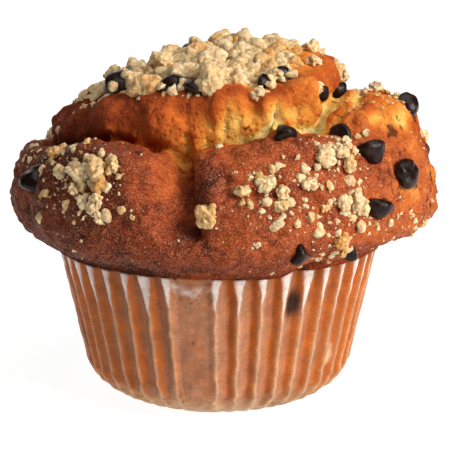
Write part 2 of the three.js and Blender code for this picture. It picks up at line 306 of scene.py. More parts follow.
def joined(
    name: str, meshes: Sequence[bpy.types.Mesh], material: bpy.types.Material
) -> bpy.types.Object:
    """Joins plain meshes into one piece.

    Args:
        name: The piece's name.
        meshes: What it is made of, all in place.
        material: Its one material.

    Returns:
        The piece, at the origin.
    """
    objects = [placed(mesh) for mesh in meshes]
    with bpy.context.temp_override(
        active_object=objects[0], object=objects[0], selected_editable_objects=objects
    ):
        bpy.ops.object.join()
    piece = objects[0]
    piece.name = piece.data.name = name
    piece.data.materials.clear()
    piece.data.materials.append(material)
    piece.data.polygons.foreach_set("material_index", [0] * len(piece.data.polygons))
    return piece


# ------------------------------------------------------------------------------- finishes


def new_material(name: str) -> tuple[bpy.types.Material, Callable[..., bpy.types.Node]]:
    """An empty node material, and the function that adds nodes to it."""
    material = bpy.data.materials.new(name)
    material.use_nodes = True
    material.node_tree.nodes.clear()
    return material, partial(add_node, material.node_tree)


@dataclass(frozen=True)
class BakedCrust:
    """Baked batter with a thin sugary crust.

    It gives the eye a colour that runs with the heat it had, from pale crumb to dark brown, and
    that also carries the cake's painted shade, a coarse mottling, a grain of fine bubbles with
    pale salmon specks that are painted glints, short dark cracks, and pits where the crust has
    torn open.
    """

    stops: tuple[tuple[float, str], ...] = (
        (0.0, "#E6D08C"),
        (0.12, "#E0B25A"),
        (0.24, "#D68C3A"),
        (0.36, "#C26A26"),
        (0.48, "#AC501B"),
        (0.6, "#953F16"),
        (0.72, "#7B2F12"),
        (0.84, "#5A2110"),
        (1.0, "#30130C"),
    )
    mottle: float = 5.0  # millimetres from one darker patch to the next
    blotch: float = 1.9
    grain: float = 0.6  # bubbles in the crust, drawn a little coarse so that they show
    swings: tuple[float, float, float] = (0.3, 0.24, 0.42)
    pit: float = 1.5
    crack: float = 3.2  # from one short crack to the next
    crack_bend: float = 2.0
    pale: float = 0.1  # the bake up to which the crumb is soft and even in colour
    crusted: float = 0.5  # the bake from which it is all crust
    # Pale salmon specks that are painted glints.
    glint_speck: str = "#D69C78"
    melted: str = "#34150F"  # molten chocolate, and the dark of the cracks

    def material(self) -> bpy.types.Material:
        """Builds the material. It reads the attributes bake, torn, gloss and melt."""
        material, add = new_material("baked_batter_crust")
        at = add("ShaderNodeTexCoord").outputs["Object"]
        bake, torn, gloss, melt = (
            add("ShaderNodeAttribute", attribute_name=name).outputs["Fac"]
            for name in ("bake", "torn", "gloss", "melt")
        )
        mottle, blotch, grain, finest_grain = (
            add(
                "ShaderNodeTexNoise",
                {"Vector": at, "Scale": 1 / (size * MM), "Detail": 2.5, "Roughness": 0.6},
            )
            for size in (self.mottle, self.blotch, self.grain, self.grain * 0.6)
        )
        # Pale crumb is even in colour and soft to light, and the mottling grows with the crust.
        most = add("ShaderNodeMapRange", {"Value": torn, "To Min": 1.0, "To Max": 0.6})
        mottled, soft = (
            add(
                "ShaderNodeMapRange",
                {
                    "Value": bake,
                    "From Min": self.pale,
                    "From Max": self.crusted,
                    "To Min": on_crumb,
                    "To Max": on_crust,
                },
            )
            for on_crumb, on_crust in ((0.28, most), (0.5, 0.0))
        )
        toned = bake
        for field, swing in zip((mottle, blotch, grain), self.swings):
            centred = add("ShaderNodeMath", {0: field, 1: 0.5}, operation="SUBTRACT")
            swing = add("ShaderNodeMath", {0: mottled, 1: swing}, operation="MULTIPLY")
            toned = add(
                "ShaderNodeMath", {0: centred, 1: swing, 2: toned}, operation="MULTIPLY_ADD"
            )
        # Painted glints: pale salmon specks, only where the crust is glossy.
        glint_speck = add(
            "ShaderNodeMapRange",
            {"Value": finest_grain, "From Min": 0.46, "From Max": 0.68, "To Max": 0.34},
            interpolation_type="SMOOTHSTEP",
        )
        glint_speck = add("ShaderNodeMath", {0: glint_speck, 1: gloss}, operation="MULTIPLY")
        # Short cracks, where the dry crust gave as the cake rose.
        bent = add(
            "ShaderNodeVectorMath",
            {0: blotch.outputs["Color"], "Scale": self.crack_bend * MM},
            operation="SCALE",
        )
        bent = add("ShaderNodeVectorMath", {0: at, 1: bent}, operation="ADD")
        cracks = add(
            "ShaderNodeTexVoronoi",
            {"Vector": bent, "Scale": 1 / (self.crack * MM)},
            feature="DISTANCE_TO_EDGE",
        )
        cracks = add(
            "ShaderNodeMapRange", {"Value": cracks, "From Max": 0.09, "To Min": 0.7, "To Max": 0.0}
        )
        broken = add("ShaderNodeMapRange", {"Value": mottle, "From Min": 0.46, "From Max": 0.6})
        for part in (broken, gloss):
            cracks = add("ShaderNodeMath", {0: cracks, 1: part}, operation="MULTIPLY")
        stain = add("ShaderNodeMath", {0: cracks, 1: melt}, operation="MAXIMUM")
        colour = add("ShaderNodeValToRGB", {0: toned}, self.stops)
        for share, tone in ((glint_speck, self.glint_speck), (stain, self.melted)):
            colour = add(
                "ShaderNodeMix", {0: share, 6: colour, 7: srgb(tone)}, data_type="RGBA"
            ).outputs[2]
        roughness = add("ShaderNodeMapRange", {"Value": gloss, "To Min": 0.78, "To Max": 0.52})
        roughness = add(
            "ShaderNodeMath", {0: blotch, 1: 0.2, 2: roughness}, operation="MULTIPLY_ADD"
        )
        depth = add("ShaderNodeMapRange", {"Value": torn, "To Min": 0.5, "To Max": 1.0})
        pits = add("ShaderNodeTexVoronoi", {"Vector": at, "Scale": 1 / (self.pit * MM)})
        pits = add("ShaderNodeMapRange", {"Value": pits, "From Min": 0.12, "From Max": 0.42})
        bump = None
        for height, strength, distance in (
            (finest_grain, 0.6, 0.2),
            (grain, 0.6, 0.3),
            (blotch, depth, 0.7),
            (pits, torn, 0.3),
        ):
            under = {"Height": height, "Normal": bump}
            bump = add(
                "ShaderNodeBump", {"Strength": strength, "Distance": distance * MM, **under}
            )
        shader = add(
            "ShaderNodeBsdfPrincipled",
            {
                "Base Color": colour,
                "Roughness": roughness,
                "Normal": bump,
                "Specular IOR Level": 0.08,
                "Subsurface Weight": soft,
                "Subsurface Radius": (1.0, 0.5, 0.2),
                "Subsurface Scale": 1.4 * MM,
            },
        )
        add("ShaderNodeOutputMaterial", {"Surface": shader})
        return material


@dataclass(frozen=True)
class BakedCrumble:
    """Butter and flour crumble, baked pale.

    It gives the eye dry cream-coloured lumps of small granules, browner in their creases as painted
    shade, with a few lumps toasted darker than the rest.
    """

    stops: tuple[tuple[float, str], ...] = (
        (0.3, "#E6D9B4"),
        (0.55, "#E0CA9A"),
        (0.8, "#CE9F5E"),
        (1.0, "#B07038"),
    )
    # The painted shade in the creases between granules.
    crease: str = "#A45C14"
    patch: float = 3.0  # millimetres from one browner patch to the next
    granule: float = 0.7
    grain: float = 0.35  # flour grains, drawn a little coarse so that they show

    def material(self) -> bpy.types.Material:
        """Builds the material. It reads the attributes toast and crease."""
        material, add = new_material("baked_flour_crumble")
        at = add("ShaderNodeTexCoord").outputs["Object"]
        toned, crease = (
            add("ShaderNodeAttribute", attribute_name=name).outputs["Fac"]
            for name in ("toast", "crease")
        )
        patches, grain = (
            add("ShaderNodeTexNoise", {"Vector": at, "Scale": 1 / (size * MM), "Detail": 2.0})
            for size in (self.patch, self.grain)
        )
        for field, swing in ((patches, 0.55), (grain, 0.3)):
            toned = add("ShaderNodeMath", {0: field, 1: swing, 2: toned}, operation="MULTIPLY_ADD")
        colour = add("ShaderNodeValToRGB", {0: toned}, self.stops)
        colour = add(
            "ShaderNodeMix", {0: crease, 6: colour, 7: srgb(self.crease)}, data_type="RGBA"
        )
        cells = add("ShaderNodeTexVoronoi", {"Vector": at, "Scale": 1 / (self.granule * MM)})
        cells = add("ShaderNodeMath", {0: cells, 1: cells}, operation="MULTIPLY")
        cells = add("ShaderNodeMath", {0: 1.0, 1: cells}, operation="SUBTRACT")
        bump = None
        for height, strength, distance in ((cells, 0.7, 0.35), (grain, 0.5, 0.2)):
            under = {"Height": height, "Normal": bump}
            bump = add(
                "ShaderNodeBump", {"Strength": strength, "Distance": distance * MM, **under}
            )
        shader = add(
            "ShaderNodeBsdfPrincipled",
            {
                "Base Color": colour.outputs[2],
                "Roughness": 0.85,
                "Normal": bump,
                "Specular IOR Level": 0.1,
                "Subsurface Weight": 0.4,
                "Subsurface Radius": (1.0, 0.85, 0.65),
                "Subsurface Scale": 1.2 * MM,
            },
        )
        add("ShaderNodeOutputMaterial", {"Surface": shader})
        return material


@dataclass(frozen=True)
class DarkChocolate:
    """Moulded dark chocolate that has been through the oven.

    It gives the eye a nearly black, purple-brown body with a soft satin sheen, and a faint dull
    bloom.
    """

    body: str = "#190C08"
    bloom: str = "#301D16"
    cloud: float = 1.8  # millimetres from one patch of bloom to the next

    def material(self) -> bpy.types.Material:
        """Builds the material."""
        material, add = new_material("baked_dark_chocolate")
        at = add("ShaderNodeTexCoord").outputs["Object"]
        cloud = add(
            "ShaderNodeTexNoise", {"Vector": at, "Scale": 1 / (self.cloud * MM), "Detail": 3.0}
        )
        colour = add("ShaderNodeValToRGB", {0: cloud}, ((0.45, self.body), (0.72, self.bloom)))
        roughness = add("ShaderNodeMapRange", {"Value": cloud, "To Min": 0.16, "To Max": 0.5})
        bump = add("ShaderNodeBump", {"Strength": 0.8, "Distance": 0.4 * MM, "Height": cloud})
        shader = add(
            "ShaderNodeBsdfPrincipled",
            {
                "Base Color": colour,
                "Roughness": roughness,
                "Normal": bump,
                "Specular IOR Level": 0.2,
            },
        )
        add("ShaderNodeOutputMaterial", {"Surface": shader})
        return material


@dataclass(frozen=True)
class GreaseproofPaper:
    """Greaseproof baking paper, pressed into pleats and stuck to the cake.

    It gives the eye orange-brown cake showing through where the paper is soaked, mauve-brown where
    it only touches, whitish paper where a pleat stands off, a painted highlight along the top of
    the plain panel, pale fold lines, and a soft waxy gloss.
    """

    stuck: str = "#AC581C"
    loose: str = "#A46E50"
    base: str = "#B88C60"
    stain: str = "#2A1610"
    fold: str = "#D8B08A"
    # Whitish lifted paper, and also the painted highlight on the panel's top edge.
    lifted_and_glare: str = "#DCCEC6"
    streak: float = 1.6  # millimetres from one upright streak to the next
    blot: float = 4.0
    pore: float = 0.6
    wrinkle: float = 0.55  # from one level wrinkle to the next

    def material(self) -> bpy.types.Material:
        """Builds the material. It reads the attributes stuck, lifted, fold, base and stain."""
        material, add = new_material("greaseproof_case_paper")
        at = add("ShaderNodeTexCoord").outputs["Object"]
        upright, level = (
            add("ShaderNodeMapping", {"Vector": at, "Scale": scale})
            for scale in ((1.0, 1.0, 0.3), (0.25, 0.25, 1.0))
        )
        streaks, blots, pores, wrinkles = (
            add("ShaderNodeTexNoise", {"Vector": vector, "Scale": 1 / (size * MM), "Detail": 2.5})
            for vector, size in (
                (upright, self.streak),
                (at, self.blot),
                (at, self.pore),
                (level, self.wrinkle),
            )
        )
        soaked, base, stain, fold, lifted_and_glare = (
            add("ShaderNodeAttribute", attribute_name=name).outputs["Fac"]
            for name in ("stuck", "base", "stain", "fold", "lifted_and_glare")
        )
        soaked = add("ShaderNodeMath", {0: streaks, 1: 0.9, 2: soaked}, operation="MULTIPLY_ADD")
        soaked = add("ShaderNodeMath", {0: soaked, 1: 0.45}, operation="SUBTRACT", use_clamp=True)
        colour = srgb(self.loose)
        for share, tone in (
            (soaked, self.stuck),
            (base, self.base),
            (stain, self.stain),
            (fold, self.fold),
            (lifted_and_glare, self.lifted_and_glare),
        ):
            colour = add(
                "ShaderNodeMix", {0: share, 6: colour, 7: srgb(tone)}, data_type="RGBA"
            ).outputs[2]
        for field, swing in ((blots, 0.3), (pores, 0.3), (wrinkles, 0.15), (streaks, 0.25)):
            tone = add(
                "ShaderNodeMapRange", {"Value": field, "To Min": 1 - swing, "To Max": 1 + swing}
            )
            colour = add("ShaderNodeVectorMath", {0: colour, "Scale": tone}, operation="SCALE")
        bump = None
        for height, strength, distance in (
            (pores, 0.4, 0.12),
            (wrinkles, 0.5, 0.2),
            (streaks, 0.4, 0.3),
        ):
            under = {"Height": height, "Normal": bump}
            bump = add(
                "ShaderNodeBump", {"Strength": strength, "Distance": distance * MM, **under}
            )
        shader = add(
            "ShaderNodeBsdfPrincipled",
            {
                "Base Color": colour,
                "Roughness": 0.45,
                "Normal": bump,
                "Specular IOR Level": 0.18,
            },
        )
        add("ShaderNodeOutputMaterial", {"Surface": shader})
        return material


@dataclass(frozen=True)
class PaleFloor:
    """A white studio surface.

    It gives the eye an even white, because it glows by itself, with a faint shadow at the foot.
    """

    colour: str = "#666666"
    glow: float = 0.95

    def material(self) -> bpy.types.Material:
        """Builds the material."""
        material, add = new_material("lit_white_floor")
        shader = add(
            "ShaderNodeBsdfPrincipled",
            {
                "Base Color": srgb(self.colour),
                "Roughness": 0.7,
                "Specular IOR Level": 0.0,
                "Emission Color": srgb("#FFFFFF"),
                "Emission Strength": self.glow,
            },
        )
        add("ShaderNodeOutputMaterial", {"Surface": shader})
        return material


# ------------------------------------------------------------------------------- the crown's form


@dataclass(frozen=True)
class Fissure:
    """A split in the crust: its line upwards, its depth, and the width of its two flanks."""

    path: tuple[tuple[float, float], ...]
    depth: float
    flanks: tuple[float, float]
    fade: float


@dataclass(frozen=True)
class Bulge:
    """A rounded bulge, or a hollow where its height is below zero."""

    azimuth: float
    elevation: float
    radius: float
    height: float


@dataclass(frozen=True)
class Drop:
    """A chocolate drop's place. Tilt 0 stands it on its base, 90 on its side, 180 on its tip."""

    azimuth: float
    elevation: float
    size: float
    tilt: float
    turn: float


@dataclass(frozen=True)
class CrumblePatch:
    """A patch of baked-on crumble, filled from its middle outwards."""

    azimuth: float
    elevation: float
    spread: float
    lumps: int
    largest: float


# Rings, as azimuths and values: the height of the case's rim, the radius of the rim crust, how
# square its underside is, the elevation of its crest and how fast it falls behind that, the radius
# of the lid, and how fast the lid's top droops.
RIM_LINE: Ring = (
    (-180, 31.8), (-120, 32.6), (-90, 33.8), (-60, 35), (-30, 35.2), (0, 35.2), (20, 34.9),
    (27, 36.2), (36, 35.8), (60, 35.6), (90, 34.4), (120, 33),
)  # fmt: skip
REACH: Ring = (
    (-180, 47), (-90, 46.4), (-55, 45.4), (0, 46.6), (52, 44.6), (88, 47.4), (120, 47),
)  # fmt: skip
UNDERSIDE_POWER: Ring = (
    (-180, 1.6), (-90, 1.6), (0, 1.5), (60, 1.35), (88, 1.28), (120, 1.4),
)  # fmt: skip
CREST_ELEVATION: Ring = (
    (-180, 24), (-150, 22), (-118, 14), (-90, 15), (-70, 20), (-46, 26), (-27, 25), (-12, 23.5),
    (2, 27), (14, 29), (22, 33), (28, 29), (36, 28), (44, 30), (52, 34), (62, 35), (80, 32),
    (100, 29), (130, 25), (155, 25),
)  # fmt: skip
CREST_FALL: Ring = (
    (-180, 1.1), (-90, 0.8), (-50, 1.3), (0, 1.3), (40, 1.2), (70, 0.72), (110, 0.72), (140, 1),
)  # fmt: skip
LID_RADIUS: Ring = (
    (-180, 32), (-140, 34), (-100, 37), (-80, 37), (-56, 33), (-36, 31), (-14, 29), (4, 29.5),
    (26, 30.5), (37, 30), (46, 27), (90, 26.2), (120, 28.5), (150, 31),
)  # fmt: skip
LID_DROOP: Ring = (
    (-180, 0.0105), (-120, 0.0135), (-90, 0.0118), (-45, 0.0095), (0, 0.007), (26, 0.007),
    (50, 0.0045), (90, 0.003), (125, 0.007),
)  # fmt: skip
FISSURES = (
    Fissure(((-8, 2), (-9, 9), (-11, 17), (-14, 27), (-15, 34)), 6.5, (12, 5.5), 3.5),
    Fissure(((43, 28), (43, 36), (45, 42)), 3.5, (4.5, 6), 4),
    Fissure(((128, 6), (124, 16), (127, 30)), 5, (8, 11), 4),
    Fissure(((-136, 4), (-131, 14), (-134, 30)), 5.5, (11, 8), 4),
)
BULGES = tuple(starmap(Bulge, (
    (-46, 8, 24, 1.6), (20, 8, 22, 1.2), (64, 12, 20, 1.2), (-92, 12, 22, 2.6), (158, 8, 24, 1.4),
    (19, 41, 6, 2.4), (34, 43, 7.5, 3), (2, 43, 6.5, 2.2), (-24, 36, 8, 2.2), (-50, 35, 9, 1.8),
    (72, 34, 10, 1.4), (48, 34, 7, 1.4), (-80, 36, 9, 1.2), (150, 38, 10, 2), (-150, 38, 10, 2),
    (-112, 62, 21, -4.2), (90, 81, 11, 1),
)))  # fmt: skip
DROPS = tuple(starmap(Drop, (
    (-58, 47, 1.3, 80, 60), (-70, 53, 0.9, 60, 30), (-66, 11, 1.15, 75, 95),
    (-25, 49, 0.95, 90, 20), (-13.5, 48.5, 0.95, 85, 130), (-60, 76, 0.9, 70, 0),
    (19, 50, 0.8, 90, 80), (30, 52, 0.9, 90, 10), (51, 46, 0.75, 60, 30), (93, 44, 0.8, 90, 60),
    (83, 29, 1.05, 80, 20), (19, 30, 0.85, 60, 200), (41, 28.5, 0.85, 90, 150),
    (48, 22, 1.15, 88, 40), (58, 14, 1.1, 180, 0), (46, 7, 1.1, 95, 30), (19, -2, 0.8, 90, 90),
    (37, -5, 0.75, 90, 0), (104, 22, 1, 180, 0), (118, 36, 1.05, 85, 50), (148, 12, 1.1, 90, 140),
    (165, 46, 1, 80, 20), (-170, 18, 0.95, 180, 0), (-150, 48, 1.1, 90, 75),
    (-118, 20, 1, 85, 110), (-104, 44, 0.95, 60, 0),
)))  # fmt: skip
HEAP = CrumblePatch(0, 90, 35, 44, 3.3)
SIDE_PATCHES = tuple(starmap(CrumblePatch, (
    (-37, 16, 6, 4, 2.3), (-46, 15, 6, 3, 1.9), (-35, 8, 3, 2, 1.9), (-60, 17, 5, 1, 1.8),
    (-4, 8, 1, 1, 2.2), (11, 14, 7, 3, 1.9), (22, 13, 8, 3, 1.6), (34, 22, 6, 4, 2.2),
    (37, 9, 5, 3, 2), (31, -1, 4, 2, 1.8), (82, 35, 7, 4, 1.7), (110, 15, 14, 3, 2),
    (160, 20, 16, 4, 2.1), (-160, 12, 14, 3, 2), (-110, 12, 12, 3, 2),
)))  # fmt: skip
GOLDEN_ANGLE = 137.508
SIZE_STEP = 0.618  # the steps that jumping takes for sizes and heights
SMALL_SIZE_STEP = 0.381966
LIFT_STEP = 0.7549
DEGREES_IN_RADIAN = 57.3


def jumping(i: int, step: float) -> float:
    """A number from 0 to 1 that jumps about evenly while i counts up."""
    return (i * step) % 1


@dataclass(frozen=True)
class CrownForm:
    """The crown's surface, as the solid has it: a rim crust with a burst lid standing out of it.

    Attributes:
        centre: The middle of the crown, from which all its elevations are seen.
        reach: Its usual radius.
        rise, drop: How far the shell of the rim crust goes up and down from the centre.
        lowest: The elevation of the crust's lower edge.
        rim_height: The usual height of that edge.
        lid_height: The height of the lid over the centre.
        lid_lean: How far the lid's wall leans in with each degree, as a share of its radius.
        lid_edge: The higher, the sharper the edge between the lid's top and its wall.
        lid_foot: The higher, the sharper the corner between the rim crust and the lid.
        shoulder_rise, shoulder_azimuth: How much higher the shell is on one side, and where.
        highest: The highest elevation at which a lump of crumble sits.
    """

    centre: tuple[float, float, float] = (1.5, 0, 43.8)
    reach: float = 47
    rise: float = 35.5
    drop: float = 24
    lowest: float = -18
    rim_height: float = 32.2
    lid_height: float = 35
    lid_lean: float = 0.0022
    lid_edge: float = 16.0
    lid_foot: float = 60.0
    shoulder_rise: float = 8.3
    shoulder_azimuth: float = 78
    highest: float = 88.0

    def split(self, fissure: Fissure, azimuth: np.ndarray, elevation: np.ndarray) -> np.ndarray:
        """How deep a split cuts at each direction."""
        nearest = np.full(np.shape(azimuth), np.inf)
        flank = np.ones(np.shape(azimuth))
        for (a0, e0), (a1, e1) in zip(fissure.path, fissure.path[1:]):
            shrink = math.cos(math.radians((e0 + e1) / 2))
            dx, dy = (a1 - a0) * shrink, e1 - e0
            px, py = wrapped(azimuth - a0) * shrink, elevation - e0
            share = np.clip((px * dx + py * dy) / (dx * dx + dy * dy), 0, 1)
            far = np.hypot(px - share * dx, py - share * dy)
            side = np.where(px * dy < py * dx, fissure.flanks[0], fissure.flanks[1])
            flank = np.where(far < nearest, side, flank)
            nearest = np.minimum(far, nearest)
        reach = np.radians(nearest) * self.reach / flank
        first, last, fade = fissure.path[0][1], fissure.path[-1][1], fissure.fade
        ends = ease((elevation - first + fade) / (2 * fade))
        ends = ends * ease((last + fade - elevation) / fade)
        return fissure.depth * ends * np.maximum(0, 1 - reach) ** 1.7

    def rim(self, azimuth: np.ndarray, elevation: np.ndarray) -> np.ndarray:
        """The rim crust's distance from the centre: a shell that falls away past its crest."""
        cos_e, sin_e = np.cos(np.radians(elevation)), np.sin(np.radians(elevation))
        facing = np.maximum(0, np.cos(np.radians(azimuth - self.shoulder_azimuth)))
        above = self.rise + self.shoulder_rise * facing**1.5
        rise = np.where(elevation > 0, above, self.drop)
        power = np.where(elevation > 0, 2.0, around(UNDERSIDE_POWER, azimuth))
        shell = 1 / pair_norm(cos_e / around(REACH, azimuth), np.abs(sin_e) / rise, power)
        past = elevation - around(CREST_ELEVATION, azimuth)
        splits = sum(self.split(fissure, azimuth, elevation) for fissure in FISSURES)
        return np.maximum(8, shell - around(CREST_FALL, azimuth) * soft_ramp(past, 2.5) - splits)

    def lid(self, azimuth: np.ndarray, elevation: np.ndarray) -> tuple[np.ndarray, np.ndarray]:
        """The lid's top and its steep wall, each as a distance from the centre."""
        cos_e, sin_e = np.cos(np.radians(elevation)), np.sin(np.radians(elevation))
        droop = around(LID_DROOP, azimuth) * cos_e * cos_e
        top = 2 * self.lid_height / (
            np.maximum(1e-6, sin_e + np.sqrt(sin_e * sin_e + 4 * droop * self.lid_height))
        )
        wall = around(LID_RADIUS, azimuth) * (1 - self.lid_lean * (elevation - 35))
        return top, wall / np.maximum(0.02, cos_e)

    def waves(self, x: np.ndarray, y: np.ndarray, z: np.ndarray, length: float) -> np.ndarray:
        """Slow unevenness, from -1 to 1, with waves about the given length apart."""
        k = 2 * math.pi / length
        return (
            np.sin(k * (x + 0.6 * y) + 1.3)
            + np.sin(k * (0.8 * y - 0.5 * z) * 1.17 + 4.1)
            + np.sin(k * (z + 0.45 * x - 0.3 * y) * 0.93 + 2.2)
            + np.sin(k * (0.7 * x - 0.7 * y + 0.4 * z) * 1.41 + 5.3)
        ) / 4

    def radius(self, azimuth: np.ndarray, elevation: np.ndarray) -> np.ndarray:
        """The distance from the crown's centre to its crust."""
        top, wall = self.lid(azimuth, elevation)
        lid = np.where(elevation > 0, 1 / pair_norm(1 / top, 1 / wall, self.lid_edge), 0.0)
        radius = pair_norm(self.rim(azimuth, elevation), lid, self.lid_foot)
        for bulge in BULGES:
            degrees = shell_degrees(azimuth, elevation, bulge.azimuth, bulge.elevation)
            far = np.radians(degrees) * self.reach / bulge.radius
            radius = radius + bulge.height * np.maximum(0, 1 - far * far) ** 2
        x, y, z = np.moveaxis(direction(azimuth, elevation) * self.reach, -1, 0)
        free = ease((elevation - self.lowest) / 10)
        return radius + free * (0.55 * self.waves(x, y, z, 19) + 0.35 * self.waves(y, z, x, 8.5))

    def points(self, azimuth: np.ndarray, elevation: np.ndarray) -> np.ndarray:
        """Points of the crust. Near the case they follow the tilt of the rim line."""
        points = direction(azimuth, elevation) * self.radius(azimuth, elevation)[..., None]
        low = 1 - ease((elevation - self.lowest) / 16)
        points[..., 2] += low * (around(RIM_LINE, azimuth) - self.rim_height)
        return points + np.array(self.centre)

    def frame(self, azimuth: float, elevation: float) -> tuple[Vector, Vector]:
        """One point of the crust and the outward normal there."""
        step = 2.5
        a = azimuth + np.array([-step, step, 0, 0, 0])
        e = elevation + np.array([0, 0, -step, step, 0])
        west, east, below, above, here = self.points(a, e)
        normal = np.cross(east - west, above - below)
        return Vector(here), Vector(normal).normalized()

    def frame_beside(
        self, spot: CrumblePatch | Drop, far: float, swing: float
    ) -> tuple[Vector, Vector]:
        """The point and the normal that lie some degrees away from a spot.

        Args:
            spot: Where to start.
            far: How many degrees away.
            swing: Which way, as a turn from straight up.

        Returns:
            The point of the crust, and the outward normal there.
        """
        swing = math.radians(swing)
        shrink = math.cos(math.radians(spot.elevation))
        azimuth = spot.azimuth + far * math.sin(swing) / shrink
        return self.frame(azimuth, spot.elevation + far * math.cos(swing))

    def crumble_lumps(self) -> list[Lump]:
        """The main lumps of crumble: where each sits on the crust, the normal there, its radius."""
        lumps = []
        for patch in (HEAP, *SIDE_PATCHES):
            for i in range(patch.lumps):
                far = patch.spread * math.sqrt((i + 0.3) / patch.lumps)
                swing = i * GOLDEN_ANGLE
                if patch is HEAP:
                    place = self.frame(swing % 360, min(self.highest, 90 - far * 1.3))
                else:
                    place = self.frame_beside(patch, far, swing)
                lumps.append((*place, patch.largest * (1 - 0.5 * jumping(i, SIZE_STEP))))
        return lumps


# ------------------------------------------------------------------------------- the cake's crust


@dataclass(frozen=True)
class Patch:
    """A soft-edged oval on the crown, and how strongly it works there."""

    azimuth: float
    elevation: float
    width: float
    height: float
    strength: float

    def weight(self, azimuth: np.ndarray, elevation: np.ndarray) -> np.ndarray:
        """How much each direction belongs to the patch."""
        shrink = math.cos(math.radians(self.elevation))
        across = wrapped(azimuth - self.azimuth) * shrink / self.width
        up = (elevation - self.elevation) / self.height
        return self.strength * np.exp(-(across**2) - up**2)


@dataclass(frozen=True)
class BakeAndShadePatch(Patch):
    """A patch that is baked more or less than what is round it, or darker with painted shade."""

    bake: float


def weights(
    patches: Sequence[Patch], azimuth: np.ndarray, elevation: np.ndarray
) -> np.ndarray:
    """How much each direction belongs to patches, in all."""
    return sum(patch.weight(azimuth, elevation) for patch in patches)


# How baked the rim crust, the lid's cliff and the valley at its foot are, and where that differs,
# with a few patches of painted shade.
RIM_BAKE: Ring = (
    (-180, 0.6), (-120, 0.68), (-90, 0.8), (-60, 0.83), (-35, 0.83), (-15, 0.76), (0, 0.67),
    (20, 0.66), (40, 0.63), (60, 0.56), (80, 0.5), (100, 0.54), (130, 0.62), (155, 0.64),
)  # fmt: skip
CLIFF_BAKE: Ring = (
    (-180, 0.55), (-120, 0.66), (-75, 0.76), (-50, 0.72), (-38, 0.6), (-28, 0.46), (-18, 0.34),
    (-8, 0.28), (4, 0.24), (14, 0.24), (28, 0.25), (38, 0.12), (50, 0.22), (65, 0.32), (90, 0.36),
    (130, 0.48),
)  # fmt: skip
VALLEY_BAKE: Ring = (
    (-180, 0.45), (-120, 0.6), (-75, 0.78), (-50, 0.68), (-36, 0.5), (-24, 0.34), (-10, 0.24),
    (14, 0.18), (34, 0.1), (44, 0.06), (60, 0.2), (90, 0.28), (130, 0.4),
)  # fmt: skip
# Painted shade: the patches at azimuths -12, -5 and -9 darken the main split's far wall and foot.
BAKE_AND_SHADE_PATCHES = tuple(starmap(BakeAndShadePatch, (
    (-14, 29, 3.5, 5, 0.9, 0.28), (-14, 20, 2.5, 6, 0.9, 0.4), (-20, 18, 5, 9, 0.85, 0.5),
    (-33, 24, 12, 3, 0.6, 0.62), (-12, 9, 2.5, 5, 0.8, 0.74), (-5, 15, 3, 9, 0.85, 0.9),
    (-9, 3, 4, 3.5, 0.6, 0.88), (20, 45, 5, 2.4, 0.85, 0.48), (21, 38, 7, 4, 0.85, 0.1),
    (34, 42, 6, 5, 0.9, 0.26), (36, 51, 9, 3, 0.9, 0.48), (43, 38, 5.5, 7, 0.95, 0.0),
    (3, 46, 6, 2.2, 0.8, 0.5), (6, 37, 11, 3.5, 0.85, 0.1), (-10, 43, 6, 2.5, 0.7, 0.46),
    (54, 36, 6, 4, 0.7, 0.44), (67, 29, 8, 5, 0.9, 0.11), (59, 9, 6, 4, 0.85, 0.26),
    (80, 17, 5, 3, 0.8, 0.95), (82, 10, 6, 4, 0.85, 0.24), (70, -2, 7, 3, 0.75, 0.36),
    (66, 21, 4, 3, 0.8, 0.34), (54, 19, 3, 3, 0.7, 0.4), (50, 2, 6, 4, 0.6, 0.42),
    (6, 22, 8, 4, 0.6, 0.52), (26, -8, 8, 4, 0.7, 0.46), (75, 62, 14, 6, 0.8, 0.3),
)))  # fmt: skip
# Where molten chocolate has smeared the crust, where it is torn rough, where crumbs lie strewn, and
# the elevation of the heap's lower edge.
MELTS = tuple(starmap(Patch, (
    (62, 26, 5, 4, 1), (82, 25, 7, 8, 1), (84, 12, 8, 7, 0.9), (74, 4, 6, 4, 0.7),
    (60, 14, 6, 6, 0.7), (19, 29, 4, 3, 0.8), (20, -3, 4, 3, 0.8), (52, 46, 4, 3, 0.8),
    (14, 57, 5, 3, 0.7),
)))  # fmt: skip
ROUGH_PATCHES = tuple(starmap(Patch, (
    (76, 26, 16, 8, 0.9), (86, 8, 10, 14, 0.7), (60, 33, 9, 5, 0.8),
)))  # fmt: skip
STREWN = tuple(starmap(Patch, (
    (42, 6, 18, 12, 0.13), (64, -4, 12, 7, 0.28), (72, 38, 16, 4, 0.8), (-74, 18, 12, 8, 0.25),
    (-45, 8, 14, 9, 0.08), (30, -9, 10, 4, 0.14),
)))  # fmt: skip
HEAP_EDGE: Ring = (
    (-180, 44), (-120, 37), (-90, 33), (-72, 35), (-55, 40), (-36, 43), (-19, 44.5), (-8, 47),
    (4, 49), (26, 52), (45, 58), (65, 66), (90, 66), (110, 60), (130, 50), (150, 46),
)  # fmt: skip


